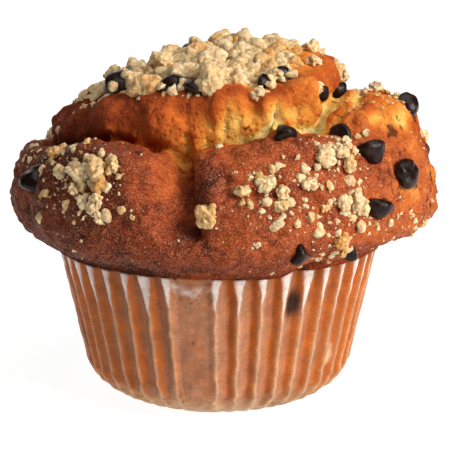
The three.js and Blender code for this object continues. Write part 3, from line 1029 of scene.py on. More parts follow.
@dataclass(frozen=True)
class CakeCrust:
    """The cake: its part inside the case, and the crown in fine relief."""

    form: CrownForm = CrownForm()
    columns: int = 480
    rows_below: int = 90
    rows_above: int = 108
    wall: float = 0.4  # of the solid case
    gap: float = 0.3
    inside_rows: tuple[float, ...] = (0, 0.05, 0.14, 0.26, 1)
    seed: int = 11

    def elevations(self, azimuth: np.ndarray) -> np.ndarray:
        """The rows' elevations, closer together on the burst between rim and lid."""
        crest = around(CREST_ELEVATION, azimuth)[None]
        lowest = self.form.lowest
        low = np.linspace(0.05, 1, self.rows_below)[:, None]
        high = np.linspace(0, 1, self.rows_above + 2)[1:-1, None] ** 1.5
        return np.concatenate([lowest + (crest - lowest) * low, crest + (90 - crest) * high])

    def layers(self, azimuth: np.ndarray, elevation: np.ndarray) -> dict[str, np.ndarray]:
        """How much each place belongs to the lid, its cliff, the valley under it, and the rest."""
        top, wall = self.form.lid(azimuth, elevation)
        lid = 1 / pair_norm(1 / top, 1 / wall, self.form.lid_edge)
        lid = np.where(elevation > 0, lid, 1.0)
        on_lid = share_of(lid, self.form.rim(azimuth, elevation), 30)
        steep = share_of(wall, top, -14)
        past = elevation - around(CREST_ELEVATION, azimuth)
        valley = (1 - on_lid) * ease((past + 1) / 7)
        splits = [self.form.split(f, azimuth, elevation) / f.depth for f in FISSURES]
        rough = weights(ROUGH_PATCHES, azimuth, elevation)
        return {
            "lid": on_lid,
            "cliff": on_lid * steep,
            "edge": on_lid * 4 * steep * (1 - steep),
            "top": on_lid * (1 - steep),
            "crevice": 4 * on_lid * (1 - on_lid) * ease(elevation / 6),
            "valley": valley,
            "split": sum(splits),
            "main_split": splits[0],
            "torn": np.clip(on_lid * steep + valley + 0.5 * sum(splits) + rough, 0, 1),
        }

    def relief(
        self, points: np.ndarray, layers: Mapping[str, np.ndarray], elevation: np.ndarray
    ) -> np.ndarray:
        """The fine relief over the plain form, in millimetres outwards."""
        noise = Unevenness(self.seed)
        free = ease((elevation - self.form.lowest) / 4)
        crust = 0.5 * noise.hills(points, 7.0) + 0.42 * noise.hills(points + 31, 2.9)
        crust += 0.36 * (noise.pebbles(points, 1.7) - 0.5)
        upright = points * np.array([1.0, 1.0, 0.45])
        burst = 0.8 * noise.hills(points + 7, 6.5) + 1.1 * noise.hills(upright + 9, 4.4)
        burst += 0.7 * (noise.pebbles(points + 3, 3.4) - 0.5) + 0.16 * noise.hills(points + 17, 1.5)
        torn = layers["torn"]
        crevice = -2.4 * layers["crevice"] ** 2 - 1.1 * ease((layers["main_split"] - 0.5) / 0.5)
        lip = 0.8 * layers["edge"] ** 2
        skirt = 0.7 * ease((-13 - elevation) / 4) * noise.hills(points + 50, 3.2)
        return free * (crust * (1 - 0.7 * torn) + burst * torn + crevice + lip + skirt)

    def bake(
        self, azimuth: np.ndarray, elevation: np.ndarray, points: np.ndarray,
        layers: Mapping[str, np.ndarray], relief: np.ndarray,
    ) -> np.ndarray:  # fmt: skip
        """How much heat each place had, from 0, pale crumb, to 1, dark brown, darker towards the
        crown's underside, and with painted shade in the main split.
        """
        noise = Unevenness(self.seed + 1)
        a = azimuth + 4 * noise.hills(points, 9)
        e = elevation + 2.2 * noise.hills(points + 40, 7)
        # The crust darkens towards the crown's underside.
        bake = around(RIM_BAKE, a) + 0.08 * ease((-e - 1) / 13)
        bake = bake + (around(VALLEY_BAKE, a) - bake) * layers["valley"]
        bake = bake + (around(CLIFF_BAKE, a) - bake) * layers["lid"]
        bake = bake - 0.25 * layers["split"] * (bake - 0.3)
        # Patches of bake, and three of painted shade on the main split's far wall and foot.
        for patch in BAKE_AND_SHADE_PATCHES:
            bake = bake + (patch.bake - bake) * patch.weight(a, e)
        bake = bake + 0.14 * layers["edge"] * ease((0.7 - bake) / 0.2)
        # What stands out of the torn crumb has browned first.
        bake = bake + 0.17 * np.clip(relief, -1.2, 1.2) * layers["torn"] * ease((0.8 - bake) / 0.4)
        bake = bake + 0.05 * noise.hills(points + 80, 14) + 0.04 * noise.hills(points + 90, 4)
        return np.clip(bake, 0.0, 1)

    def melt(
        self, azimuth: np.ndarray, elevation: np.ndarray, points: np.ndarray
    ) -> np.ndarray:
        """How much molten chocolate has smeared each place, from 0 to 1."""
        noise = Unevenness(self.seed + 2)
        smeared = weights(MELTS, azimuth, elevation)
        streaks = noise.hills(points * np.array([1, 1, 0.6]), 3.4) + 0.6 * noise.hills(points, 1.6)
        return ease((smeared + 0.9 * streaks - 0.85) / 0.3) * 0.85

    def crumb_density(
        self, azimuth: np.ndarray, elevation: np.ndarray, layers: Mapping[str, np.ndarray]
    ) -> np.ndarray:
        """How thickly small crumbs lie, from 0 to 1."""
        density = 0.35 * ease((elevation - around(HEAP_EDGE, azimuth) + 1.5) / 3)
        for patch in SIDE_PATCHES:
            far = shell_degrees(azimuth, elevation, patch.azimuth, patch.elevation)
            density = np.maximum(density, 0.75 * np.exp(-((far / (patch.spread + 1.5)) ** 2)))
        spare = 0.012 + weights(STREWN, azimuth, elevation)
        spare *= ease((elevation + 14) / 8) * (1 - layers["cliff"]) * (1 - layers["valley"])
        return np.clip(density + spare, 0, 1)

    def build(self, finish: BakedCrust) -> bpy.types.Object:
        """Makes the cake's mesh with the attributes that its finish and the crumble read.

        Args:
            finish: The crust's finish.

        Returns:
            The object muffin_crust.
        """
        columns = np.arange(self.columns) * 360 / self.columns
        elevation = self.elevations(columns)
        azimuth = np.broadcast_to(columns, elevation.shape)
        points = self.form.points(azimuth, elevation)
        layers = self.layers(azimuth, elevation)
        relief = self.relief(points, layers, elevation)
        crown = points + grid_normals(points) * relief[..., None]
        case = PaperCase()
        floor = self.wall + self.gap
        inset = floor + 0.2
        rim = around(RIM_LINE, columns)
        inside = []
        for share in self.inside_rows:
            z = floor + (rim - 0.1 - floor) * share
            pleat = case.pleat_depth * case.pleat_strength(z)
            inside.append(standing(columns, case.radius(z - floor) - inset - pleat, z))
        inside.append(standing(columns, case.radius(rim) + 0.4, rim))
        rings = np.concatenate([np.array(inside), crown])
        pole = self.form.points(np.array([0.0]), np.array([90.0]))[0]
        mesh = skinned("muffin_crust", rings, np.array([0, 0, floor]), pole)
        hidden = np.zeros((len(inside), self.columns))
        values = {
            "bake": self.bake(azimuth, elevation, points, layers, relief),
            "torn": layers["torn"],
            "gloss": np.clip(1 - 0.9 * layers["torn"], 0.25, 1) * (1 - layers["top"]),
            "melt": self.melt(azimuth, elevation, points),
            "crumb_density": self.crumb_density(azimuth, elevation, layers),
        }
        for name, value in values.items():
            under = hidden + (value[:1] if name == "bake" else 0)
            paint(mesh, name, np.concatenate([under, value]))
        piece = placed(mesh, finish.material())
        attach(piece, "root")
        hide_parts("muffin_cake")
        log.info("%s: %d vertices", piece.name, len(mesh.vertices))
        return piece


# ------------------------------------------------------------------------------- crumble


class CrumbSpread(Enum):
    """How crumbs find their places."""

    PLACED = "one on each vertex of the mesh"
    SCATTERED = "over the mesh's faces by its crumb_density"


@dataclass(frozen=True)
class CrumbKind:
    """One size of crumb.

    Attributes:
        name: The name of the piece that it makes.
        spread: How the crumbs find their places.
        fineness: Subdivisions of each crumb's round blank.
        granule: Size of the granules that a crumb is clotted from.
        relief: How far the granules stand out.
        seed: The seed of its random numbers.
        smallest, largest: Radii of scattered crumbs.
        per_square_cm: How many lie on a square centimetre where the density is 1.
        knock: How far a crumb is knocked out of round, as a share of its radius.
        knocks: How many knocks there are on the length of a radius.
        toasted: The most that a crumb is toasted.
        toast_rarity: The higher, the fewer crumbs are toasted much.
        toast_seed: The seed of the toasting, the same for every kind.
    """

    name: str
    spread: CrumbSpread
    fineness: int
    granule: float
    relief: float
    seed: int
    smallest: float = 0.0
    largest: float = 0.0
    per_square_cm: float = 0.0
    knock: float = 2.2
    knocks: float = 0.75
    toasted: float = 0.36
    toast_rarity: float = 2.4
    toast_seed: int = 77

    def sizes(self) -> dict[str, float | int]:
        """The values of the named inputs of its node tree, with lengths in metres."""
        return {
            "Smallest radius": self.smallest * MM,
            "Largest radius": self.largest * MM,
            "Per square metre": self.per_square_cm * 1e4,
            "Granule": self.granule * MM,
            "Relief": self.relief * MM,
            "Fineness": self.fineness,
            "Seed": self.seed,
        }

    def tree(self, material: bpy.types.Material) -> bpy.types.NodeTree:
        """Builds the geometry nodes that grow this kind of crumb on a mesh.

        Args:
            material: The crumbs' material.

        Returns:
            The tree, with its sizes as named inputs.
        """
        tree = bpy.data.node_groups.new(self.name, "GeometryNodeTree")
        add = partial(add_node, tree)
        for way in ("INPUT", "OUTPUT"):
            tree.interface.new_socket("Geometry", in_out=way, socket_type="NodeSocketGeometry")
        for name, value in self.sizes().items():
            kind = "NodeSocketInt" if isinstance(value, int) else "NodeSocketFloat"
            tree.interface.new_socket(name, in_out="INPUT", socket_type=kind)
        given = add("NodeGroupInput").outputs
        if self.spread is CrumbSpread.SCATTERED:
            density = add(
                "GeometryNodeInputNamedAttribute", {"Name": "crumb_density"}, data_type="FLOAT"
            )
            density = add(
                "ShaderNodeMath", {0: density, 1: given["Per square metre"]}, operation="MULTIPLY"
            )
            points = add(
                "GeometryNodeDistributePointsOnFaces",
                {"Mesh": given["Geometry"], "Density": density, "Seed": given["Seed"]},
                distribute_method="RANDOM",
            )
            stand = points.outputs["Rotation"]
            chance = add("FunctionNodeRandomValue", {"Seed": given["Seed"]}, data_type="FLOAT")
            chance = add("ShaderNodeMath", {0: chance.outputs[1], 1: 2.0}, operation="POWER")
            size = add(
                "ShaderNodeMapRange",
                {
                    "Value": chance,
                    "To Min": given["Smallest radius"],
                    "To Max": given["Largest radius"],
                },
            )
        else:
            points = add("GeometryNodeMeshToPoints", {"Mesh": given["Geometry"]})
            size = add(
                "GeometryNodeInputNamedAttribute", {"Name": "lump_radius"}, data_type="FLOAT"
            )
            outwards = add(
                "GeometryNodeInputNamedAttribute", {"Name": "outwards"}, data_type="FLOAT_VECTOR"
            )
            stand = add("FunctionNodeAlignRotationToVector", {"Vector": outwards}, axis="Z")
        toast = add("FunctionNodeRandomValue", {"Seed": self.toast_seed}, data_type="FLOAT")
        toast = toast.outputs[1]
        for operation, value in (("POWER", self.toast_rarity), ("MULTIPLY", self.toasted)):
            toast = add("ShaderNodeMath", {0: toast, 1: value}, operation=operation)
        for name, value in (("size", size), ("toast", toast)):
            points = add(
                "GeometryNodeStoreNamedAttribute",
                {"Geometry": points, "Name": name, "Value": value},
                data_type="FLOAT",
                domain="POINT",
            )
        blank = add("GeometryNodeMeshIcoSphere", {"Radius": 1.0, "Subdivisions": given["Fineness"]})
        turn, squash = (
            add(
                "FunctionNodeRandomValue",
                {0: least, 1: most, "Seed": given["Seed"]},
                data_type="FLOAT_VECTOR",
            )
            for least, most in (
                ((-0.4, -0.4, 0), (0.4, 0.4, 6.28)),
                ((0.8, 0.8, 0.6), (1.3, 1.2, 0.95)),
            )
        )
        turn = add("FunctionNodeEulerToRotation", {0: turn})
        turn = add("FunctionNodeRotateRotation", {0: stand, 1: turn}, rotation_space="LOCAL")
        own_size = add("GeometryNodeInputNamedAttribute", {"Name": "size"}, data_type="FLOAT")
        scale = add("ShaderNodeVectorMath", {0: squash, "Scale": own_size}, operation="SCALE")
        crumbs = add(
            "GeometryNodeInstanceOnPoints",
            {"Points": points, "Instance": blank, "Rotation": turn, "Scale": scale},
        )
        crumbs = add("GeometryNodeRealizeInstances", {0: crumbs})
        # Each blank is knocked out of round, then clotted into granules of one size.
        knock = add("ShaderNodeMath", {0: self.knocks, 1: own_size}, operation="DIVIDE")
        knock = add("ShaderNodeTexNoise", {"Scale": knock, "Detail": 2.0})
        knock = add("ShaderNodeMath", {0: knock, 1: 0.5}, operation="SUBTRACT")
        knock = add("ShaderNodeMath", {0: knock, 1: own_size}, operation="MULTIPLY")
        cell_scale = add("ShaderNodeMath", {0: 1.0, 1: given["Granule"]}, operation="DIVIDE")
        cells = add(
            "ShaderNodeTexVoronoi",
            {"Scale": cell_scale, "Detail": 1.0, "Roughness": 0.5},
            feature="F1",
        )
        round_off = add("ShaderNodeMath", {0: cells, 1: cells}, operation="MULTIPLY")
        height = add("ShaderNodeMath", {0: 0.3, 1: round_off}, operation="SUBTRACT")
        height = add("ShaderNodeMath", {0: height, 1: given["Relief"]}, operation="MULTIPLY")
        height = add(
            "ShaderNodeMath", {0: knock, 1: self.knock, 2: height}, operation="MULTIPLY_ADD"
        )
        normal = add("GeometryNodeInputNormal")
        offset = add("ShaderNodeVectorMath", {0: normal, "Scale": height}, operation="SCALE")
        crumbs = add("GeometryNodeSetPosition", {"Geometry": crumbs, "Offset": offset})
        # Painted shade: the creases between the granules are marked for a darker, browner colour.
        crease = add(
            "ShaderNodeMapRange",
            {"Value": cells, "From Min": 0.5, "From Max": 0.95, "To Max": 0.55},
        )
        crumbs = add(
            "GeometryNodeStoreNamedAttribute",
            {"Geometry": crumbs, "Name": "crease", "Value": crease},
            data_type="FLOAT",
            domain="POINT",
        )
        crumbs = add("GeometryNodeSetShadeSmooth", {0: crumbs})
        crumbs = add("GeometryNodeSetMaterial", {"Geometry": crumbs, "Material": material})
        add("NodeGroupOutput", {0: crumbs})
        return tree

    def grow(self, bed: bpy.types.Mesh, material: bpy.types.Material) -> bpy.types.Object:
        """Grows this kind of crumb on a mesh.

        Args:
            bed: Its vertices, or its faces and their crumb_density, say where crumbs lie.
            material: The crumbs' material.

        Returns:
            The crumbs alone, as one piece.
        """
        tree = self.tree(material)
        values = self.sizes()
        holder = placed(bed)
        modifier = holder.modifiers.new(self.name, "NODES")
        modifier.node_group = tree
        for item in tree.interface.items_tree:
            if item.in_out == "INPUT" and item.name in values:
                modifier[item.identifier] = values[item.name]
        ready = holder.evaluated_get(bpy.context.evaluated_depsgraph_get())
        mesh = bpy.data.meshes.new_from_object(ready)
        bpy.data.objects.remove(holder)
        mesh.name = self.name
        piece = placed(mesh, material)
        mesh.polygons.foreach_set("material_index", [0] * len(mesh.polygons))
        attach(piece, "root")
        log.info("%s: %d triangles", self.name, len(mesh.polygons))
        return piece


@dataclass(frozen=True)
class Crumble:
    """The crumble topping.

    It has big lumps as the solid has them, clots and bits that fill the heap between them, and
    crumbs and grains that lie about.
    """

    form: CrownForm = CrownForm()
    tries: int = 560  # how many smaller lumps the heap would have without gaps
    spread: float = 58
    peaks: tuple[tuple[float, float, float], ...] = ((20, 86, -0.6), (76, 71, -0.6))
    peak_lumps: int = 7
    peak_width: float = 5.5
    cluster: float = 7.5  # from one cluster of lumps to the next
    gaps_below: float = -0.3  # the height of the clusters below which there are gaps
    leaning_crumbs: int = 5
    largest_bit: float = 1.75
    seed: int = 31
    lumps: CrumbKind = CrumbKind("crumble_lumps", CrumbSpread.PLACED, 4, 1.0, 0.5, 3)
    clots: CrumbKind = CrumbKind("crumble_clots", CrumbSpread.PLACED, 3, 0.9, 0.42, 4)
    bits: CrumbKind = CrumbKind("crumble_bits", CrumbSpread.PLACED, 2, 1.2, 0.4, 7)
    crumbs: CrumbKind = CrumbKind(
        "crumble_crumbs", CrumbSpread.SCATTERED, 2, 0.9, 0.35, 5,
        smallest=0.35, largest=1.1, per_square_cm=26,
    )  # fmt: skip
    grains: CrumbKind = CrumbKind(
        "crumble_grains", CrumbSpread.SCATTERED, 1, 0.7, 0.1, 6,
        smallest=0.16, largest=0.4, per_square_cm=60,
    )  # fmt: skip

    def bed(self, name: str, places: Sequence[Lump]) -> bpy.types.Mesh:
        """A mesh of loose vertices that carry each lump's radius and the normal under it."""
        mesh = bpy.data.meshes.new(name)
        mesh.from_pydata([(p + n * r * 0.3) * MM for p, n, r in places], [], [])
        radii = mesh.attributes.new("lump_radius", "FLOAT", "POINT")
        radii.data.foreach_set("value", [r * MM for _, _, r in places])
        normals = mesh.attributes.new("outwards", "FLOAT_VECTOR", "POINT")
        normals.data.foreach_set("vector", [value for _, n, _ in places for value in n])
        return mesh

    def on_peaks(self) -> list[Lump]:
        """The lumps that pile up on the heap's peaks."""
        lumps = []
        for azimuth, elevation, lift in self.peaks:
            point, normal = self.form.frame(azimuth, elevation)
            for i in range(self.peak_lumps):
                swing = math.radians(i * GOLDEN_ANGLE)
                aside = Vector((math.sin(swing), math.cos(swing), 0)) * 3.4
                place = point + aside * math.sqrt(i / self.peak_lumps) + normal * lift * (1 - i / 9)
                lumps.append((place, normal, 2.6 - 0.7 * jumping(i, SIZE_STEP)))
        return lumps

    def in_heap(self) -> list[Lump]:
        """The lumps that fill the heap in clusters, larger and higher towards its middle."""
        clusters = Unevenness(self.seed)
        tops = [self.form.frame(azimuth, elevation)[0] for azimuth, elevation, _ in self.peaks]
        lumps = []
        for i in range(self.tries):
            azimuth = (i * GOLDEN_ANGLE + 61) % 360
            elevation = 90 - self.spread * math.sqrt((i + 0.5) / self.tries)
            over = elevation - float(around(HEAP_EDGE, azimuth))
            point, normal = self.form.frame(azimuth, min(self.form.highest, elevation))
            height = float(clusters.hills(np.array(point), self.cluster))
            mound = max(math.exp(-(((point - top).length / self.peak_width) ** 2)) for top in tops)
            if over < 0 or height + mound < self.gaps_below:
                continue
            radius = 1.0 + 2.2 * jumping(i, SMALL_SIZE_STEP) ** 1.8
            radius *= 0.7 + 0.3 * float(ease(over / 12))
            radius *= 0.9 + 0.1 * mound
            heaped = (0.5 * max(0.0, height) + 0.9 * mound) * float(ease(over / 8))
            lift = 0.8 * jumping(i, LIFT_STEP) - 1.2 + heaped
            lumps.append((point + normal * lift, normal, radius))
        return lumps

    def in_patches(self) -> list[Lump]:
        """The stragglers round the main lumps of the side patches."""
        lumps = []
        for patch in SIDE_PATCHES:
            count = patch.lumps * 2
            for i in range(count):
                far = (patch.spread + 1.5) * math.sqrt((i + 0.6) / count)
                point, normal = self.form.frame_beside(patch, far, i * GOLDEN_ANGLE + 200)
                radius = 0.8 + 0.7 * jumping(i, SMALL_SIZE_STEP)
                lumps.append((point - normal * 0.4 * radius, normal, radius))
        return lumps

    def by_drops(self) -> list[Lump]:
        """The crumbs that lean against the drops of the heap, and lie on them."""
        lumps = []
        for i, drop in enumerate(DROPS):
            if drop.elevation < float(around(HEAP_EDGE, drop.azimuth)) - 3:
                continue
            for k in range(self.leaning_crumbs):
                far = (2.2 + 1.1 * jumping(k, SIZE_STEP)) * drop.size / self.form.reach
                far *= DEGREES_IN_RADIAN
                swing = k * 360 / self.leaning_crumbs + i * 50
                point, normal = self.form.frame_beside(drop, far, swing)
                lift = normal * (0.4 + 1.2 * jumping(k, LIFT_STEP)) * drop.size
                size = (k * 0.3819 + i * 0.27) % 1
                lumps.append((point + lift, normal, 0.9 + 0.5 * size))
        return lumps

    def build(self, crust: bpy.types.Object, finish: BakedCrumble) -> None:
        """Grows the crumble on the crust, one piece for each kind.

        Args:
            crust: The crust, whose crumb_density says where small crumbs lie.
            finish: The crumble's finish.
        """
        material = finish.material()
        smaller = [*self.on_peaks(), *self.in_heap(), *self.in_patches(), *self.by_drops()]
        for kind, lumps in (
            (self.lumps, self.form.crumble_lumps()),
            (self.clots, [lump for lump in smaller if lump[2] > self.largest_bit]),
            (self.bits, [lump for lump in smaller if lump[2] <= self.largest_bit]),
        ):
            kind.grow(self.bed(f"{kind.name}_bed", lumps), material)
        for kind in (self.crumbs, self.grains):
            kind.grow(crust.data.copy(), material)


# ------------------------------------------------------------------------------- chocolate


@dataclass(frozen=True)
class ChocolateDrops:
    """Baking drops: a flat base, a rounded foot, and a cone that leans into a blunt tip."""

    form: CrownForm = CrownForm()
    radius: float = 3
    height: float = 4.2
    sides: int = 32
    profile: tuple[tuple[float, float], ...] = (
        (0.3, 0.0), (0.62, 0.01), (0.82, 0.05), (0.94, 0.13), (1.0, 0.24), (0.98, 0.35),
        (0.92, 0.47), (0.81, 0.59), (0.67, 0.7), (0.52, 0.8), (0.37, 0.885), (0.22, 0.95),
        (0.1, 0.985),
    )  # fmt: skip
    lean: float = 0.175
    dent: float = 0.24
    dent_size: float = 3.0
    seed: int = 23

    def place(self, drop: Drop) -> Matrix:
        """The place of a drop, sunk into the crust, in millimetres."""
        point, normal = self.form.frame(drop.azimuth, drop.elevation)
        stand = Vector((0, 0, 1)).rotation_difference(normal)
        swing = Quaternion((0, 0, 1), math.radians(drop.turn))
        lean = Quaternion((1, 0, 0), math.radians(drop.tilt))
        rotation = stand @ swing @ lean
        middle = rotation @ Vector((0, 0, -self.height * 0.4 * drop.size))
        sunk = abs(math.cos(math.radians(drop.tilt))) * 0.1 - 0.05
        return Matrix.LocRotScale(point + normal * sunk * drop.size + middle, rotation, None)

    def mesh(self, drop: Drop) -> bpy.types.Mesh:
        """One drop in its place, softened and dented by the oven."""
        turn = np.arange(self.sides) * 360 / self.sides
        rings = []
        for r, z in self.profile:
            ring = standing(turn, np.full(self.sides, r * self.radius), z * self.height)
            ring[:, 0] += self.lean * z**3 * self.radius
            rings.append(ring * drop.size)
        rings = np.array(rings)
        dents = Unevenness(self.seed).hills(rings + drop.azimuth, self.dent_size)
        rings += grid_normals(rings) * self.dent * dents[..., None]
        matrix = np.array(self.place(drop))
        rings = rings @ matrix[:3, :3].T + matrix[:3, 3]
        return skinned("drop", rings, rings[0].mean(0), rings[-1].mean(0))

    def build(self, finish: DarkChocolate) -> bpy.types.Object:
        """Makes all the drops as one piece, in the places of the solid ones.

        Args:
            finish: The chocolate's finish.

        Returns:
            The object chocolate_drops.
        """
        piece = joined("chocolate_drops", [self.mesh(drop) for drop in DROPS], finish.material())
        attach(piece, "root")
        nodes = [f"chocolate_drop_{i + 1:02d}" for i in range(len(DROPS))]
        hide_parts(*nodes)
        log.info("%s: %d drops", piece.name, len(DROPS))
        return piece


# ------------------------------------------------------------------------------- the paper case


@dataclass(frozen=True)
class PaperSpot:
    """Something in the cake that shows through: dark, or pale where its shade is negative."""

    azimuth: float
    z: float
    width: float
    tall: float
    shade: float

    def shown(self, azimuth: np.ndarray, z: np.ndarray, radius: float = 34) -> np.ndarray:
        """How much of it shows at azimuths and heights of a wall with that radius."""
        across = np.radians(wrapped(azimuth - self.azimuth)) * radius / self.width
        return abs(self.shade) * ease(1.5 - np.hypot(across, (z - self.z) / self.tall))


@dataclass(frozen=True)
class Sheet:
    """The points of the case's paper, row by row, and how each lies to the pleats.

    Attributes:
        azimuth: The azimuth of each column.
        fold: 1 on a ridge, 0 in a valley.
        flank: The width of the flank that it is on, in pitches.
        from_ridge: How far away the ridge is, in pitches.
        panel: 1 on the panel without pleats.
        rim: The height of the rim.
        z: The height of each point.
        low: 1 at the foot, 0 on the wall.
        rest: The points before the sheet is folded.
        below: How far below the rim it is, where 1 is the lower end of a flattened pleat top.
        half: Half the width of the flattened pleat top, in pitches.
    """

    azimuth: np.ndarray
    fold: np.ndarray
    flank: np.ndarray
    from_ridge: np.ndarray
    panel: np.ndarray
    rim: np.ndarray
    z: np.ndarray
    low: np.ndarray
    rest: np.ndarray
    below: np.ndarray
    half: np.ndarray


@dataclass(frozen=True)
class PaperCase:
    """The pleated paper case, one sheet pressed to the cake."""

    foot_radius: float = 16
    corner_radius: float = 30.5
    corner_height: float = 9.6
    corner_power: float = 1.75
    flare: float = 0.22
    wall: float = 0.2
    gap: float = 0.3
    pleats: int = 44
    pleat_depth: float = 1.7
    pleat_pitch: float = 5.2  # at the rim
    valley: float = 0.6  # where in its pitch a valley lies
    panel_start: float = -17.2
    panel_end: float = -0.8
    panel_folds: tuple[float, ...] = (0.16, 0.5, 0.84)
    panel_fold: float = 0.45
    rows: int = 76
    inner_row_step: int = 8
    steps: int = 9
    crowding: float = 1.35
    sliver: float = 0.25  # half the width of a flattened pleat top, as a share of the pitch
    sliver_height: float = 11.5
    fold_line: float = 0.55
    seed: int = 41
    spots: tuple[PaperSpot, ...] = (
        PaperSpot(27.8, 28.2, 2.1, 3.2, 0.95),
        PaperSpot(35.5, 29.3, 1.1, 1.6, 0.4),
        PaperSpot(19.5, 27, 1.4, 1.8, 0.3),
        PaperSpot(52, 13.5, 1.5, 2.4, -0.9),
        PaperSpot(-9, 20, 0.5, 0.5, 0.5),
        PaperSpot(-72, 15, 1.6, 2.6, 0.4),
        PaperSpot(110, 22, 1.8, 3.0, 0.8),
        PaperSpot(-140, 17, 1.8, 2.6, 0.7),
        PaperSpot(168, 25, 1.6, 2.8, 0.6),
    )

    def radius(self, z: np.ndarray) -> np.ndarray:
        """The radius over the pleats' ridges, at a height."""
        up = np.clip(z / self.corner_height, 0, 1)
        corner = (1 - (1 - up) ** self.corner_power) ** (1 / self.corner_power)
        lift = np.maximum(0, z - self.corner_height) * self.flare
        return self.foot_radius + (self.corner_radius - self.foot_radius) * corner + lift

    def pleat_strength(self, z: np.ndarray) -> np.ndarray:
        """How much of their full depth the pleats have at a height."""
        return ease((z - 2.5) / 9) * (0.62 + 0.38 * np.clip((z - self.corner_height) / 22, 0, 1))

    def folds(self) -> np.ndarray:
        """The folds round the case: azimuth, and 1 on a ridge or 0 in a valley."""
        pitch = 360 / self.pleats
        panel = self.panel_end - self.panel_start
        folds = []
        for ridge in np.arange(self.panel_end, 359 + self.panel_start, pitch):
            folds += [(ridge, 1.0), (ridge + self.valley * pitch, 0.0)]
        folds.append((360 + self.panel_start, 1.0))
        for share in self.panel_folds:
            folds.append((360 + self.panel_start + share * panel, self.panel_fold))
        return np.array(folds)

    def columns(self) -> tuple[np.ndarray, np.ndarray, np.ndarray]:
        """The mesh's columns, close together beside the ridges.

        Returns:
            Their azimuths, their fold values, and the width of the flank that each is on.
        """
        folds = self.folds()
        nexts = np.roll(folds, -1, axis=0)
        nexts[-1, 0] += 360
        azimuth, fold, flank = [], [], []
        for (a0, f0), (a1, f1) in zip(folds, nexts):
            share = np.arange(self.steps) / self.steps
            if f0 == 1:
                share = share**self.crowding
            elif f1 == 1:
                share = 1 - (1 - share) ** self.crowding
            azimuth.append(a0 + (a1 - a0) * share)
            fold.append(f0 + (f1 - f0) * share)
            flank.append(np.full(self.steps, (a1 - a0) * self.pleats / 360))
        return tuple(np.concatenate(values)[None] for values in (azimuth, fold, flank))

    def sheet(self) -> Sheet:
        """The flat sheet, and where its pleats are. Their tops narrow downwards to sharp ridges."""
        azimuth, fold, flank = self.columns()
        start, end = 360 + self.panel_start, 360 + self.panel_end
        panel = ease((azimuth - start) / 2) * ease((end - azimuth) / 2)
        rim = around(RIM_LINE, azimuth)
        z = (rim - self.gap) * np.linspace(0, 1, self.rows)[:, None] ** 1.12
        rest = standing(azimuth + 0 * z, self.radius(z), z)
        noise = Unevenness(self.seed)
        along = rest * np.array([1, 1, 0.05])
        below = (rim - z) / (self.sliver_height * (0.85 + 0.35 * noise.hills(along, 9)))
        width = 1 + 0.45 * noise.hills(along + 70, 7) - 0.2 * np.sin(np.radians(azimuth))
        half = self.sliver * width * np.clip(1 - below, 0, 1) ** 1.3 * (1 - panel)
        low = ease((13 - z) / 11)
        from_ridge = (1 - fold) * flank
        return Sheet(azimuth, fold, flank, from_ridge, panel, rim, z, low, rest, below, half)

    def skins(self, sheet: Sheet) -> tuple[np.ndarray, np.ndarray]:
        """Folds the sheet.

        Args:
            sheet: The sheet at rest.

        Returns:
            The points of its outer and of its inner side.
        """
        noise = Unevenness(self.seed)
        z, low, rest, panel = sheet.z, sheet.low, sheet.rest, sheet.panel
        hollow = (sheet.from_ridge - sheet.half) / np.maximum(0.05, sheet.flank - sheet.half)
        hollow = np.clip(hollow, 0, 1)
        hollow = 0.5 * (hollow + ease(hollow))  # ridges and valleys are a little rounded
        hollow = hollow + ((1 - sheet.fold) - hollow) * panel
        depth = self.pleat_depth * self.pleat_strength(z) * hollow
        # The fold lines wander, more so towards the bottom, where they die out in crinkles.
        wander = (0.3 + 1.1 * low) * noise.hills(rest * np.array([0.7, 0.7, 1]), 4.5)
        wander += (0.08 + 0.5 * low) * noise.hills(rest * np.array([0.5, 0.5, 1]) + 60, 1.9)
        crinkle = (0.12 + 0.35 * low) * noise.hills(rest * np.array([1, 1, 0.7]), 2.6)
        creased = 0.4 * panel * noise.hills(rest * np.array([0.35, 0.35, 1.4]), 3.2)
        radius = self.radius(z) - depth + (crinkle + creased) * ease(z / 3)
        radius -= 1.3 * hollow * low * ease(z / 1.5) * (1 - panel)
        outer = standing(sheet.azimuth + wander, radius, z)
        inner_radius = self.radius(np.maximum(0, z - self.wall)) - self.wall - depth - 0.8 * low
        inner = standing(sheet.azimuth + wander, inner_radius, np.maximum(z, self.wall))
        inner[-1, :, 2] = outer[-1, :, 2]
        return outer, inner

    def show_through(self, sheet: Sheet) -> dict[str, np.ndarray]:
        """What each place of the paper looks like, as values from 0 to 1.

        Args:
            sheet: The sheet at rest.

        Returns:
            The values of the attributes that the paper's finish reads.
        """
        noise = Unevenness(self.seed)
        z, low, rest, panel = sheet.z, sheet.low, sheet.rest, sheet.panel
        from_ridge, down = sheet.from_ridge, sheet.rim - sheet.z
        upright = rest * np.array([1, 1, 0.4])
        # Going away from the panel, a pleat is mauve first, and soaked orange up to the next ridge.
        falling = np.where(np.roll(sheet.fold, -1) < sheet.fold, from_ridge, 1 - from_ridge)
        outwards = np.where(wrapped(sheet.azimuth) > -13, falling, 1 - falling)
        soaked = ease((outwards - 0.3) / 0.45) * (1 - panel) + 0.16 * panel
        soaked = soaked + 0.24 * noise.hills(upright, 5.0) + 0.12 * noise.hills(rest, 2.2)
        # Each sliver is brightest at its outer edge and fades where the paper meets the cake.
        lifted_and_glare = ease((sheet.half - from_ridge) / 0.04 + 0.5)
        lifted_and_glare *= ease((1.02 - sheet.below) / 0.15) * (1 - panel)
        inner_side = np.where(outwards > 0.5, from_ridge, -from_ridge)
        inner_side = inner_side / np.maximum(0.02, sheet.half)
        lifted_and_glare *= 0.95 - 0.5 * ease((inner_side + 0.3) / 1.3)
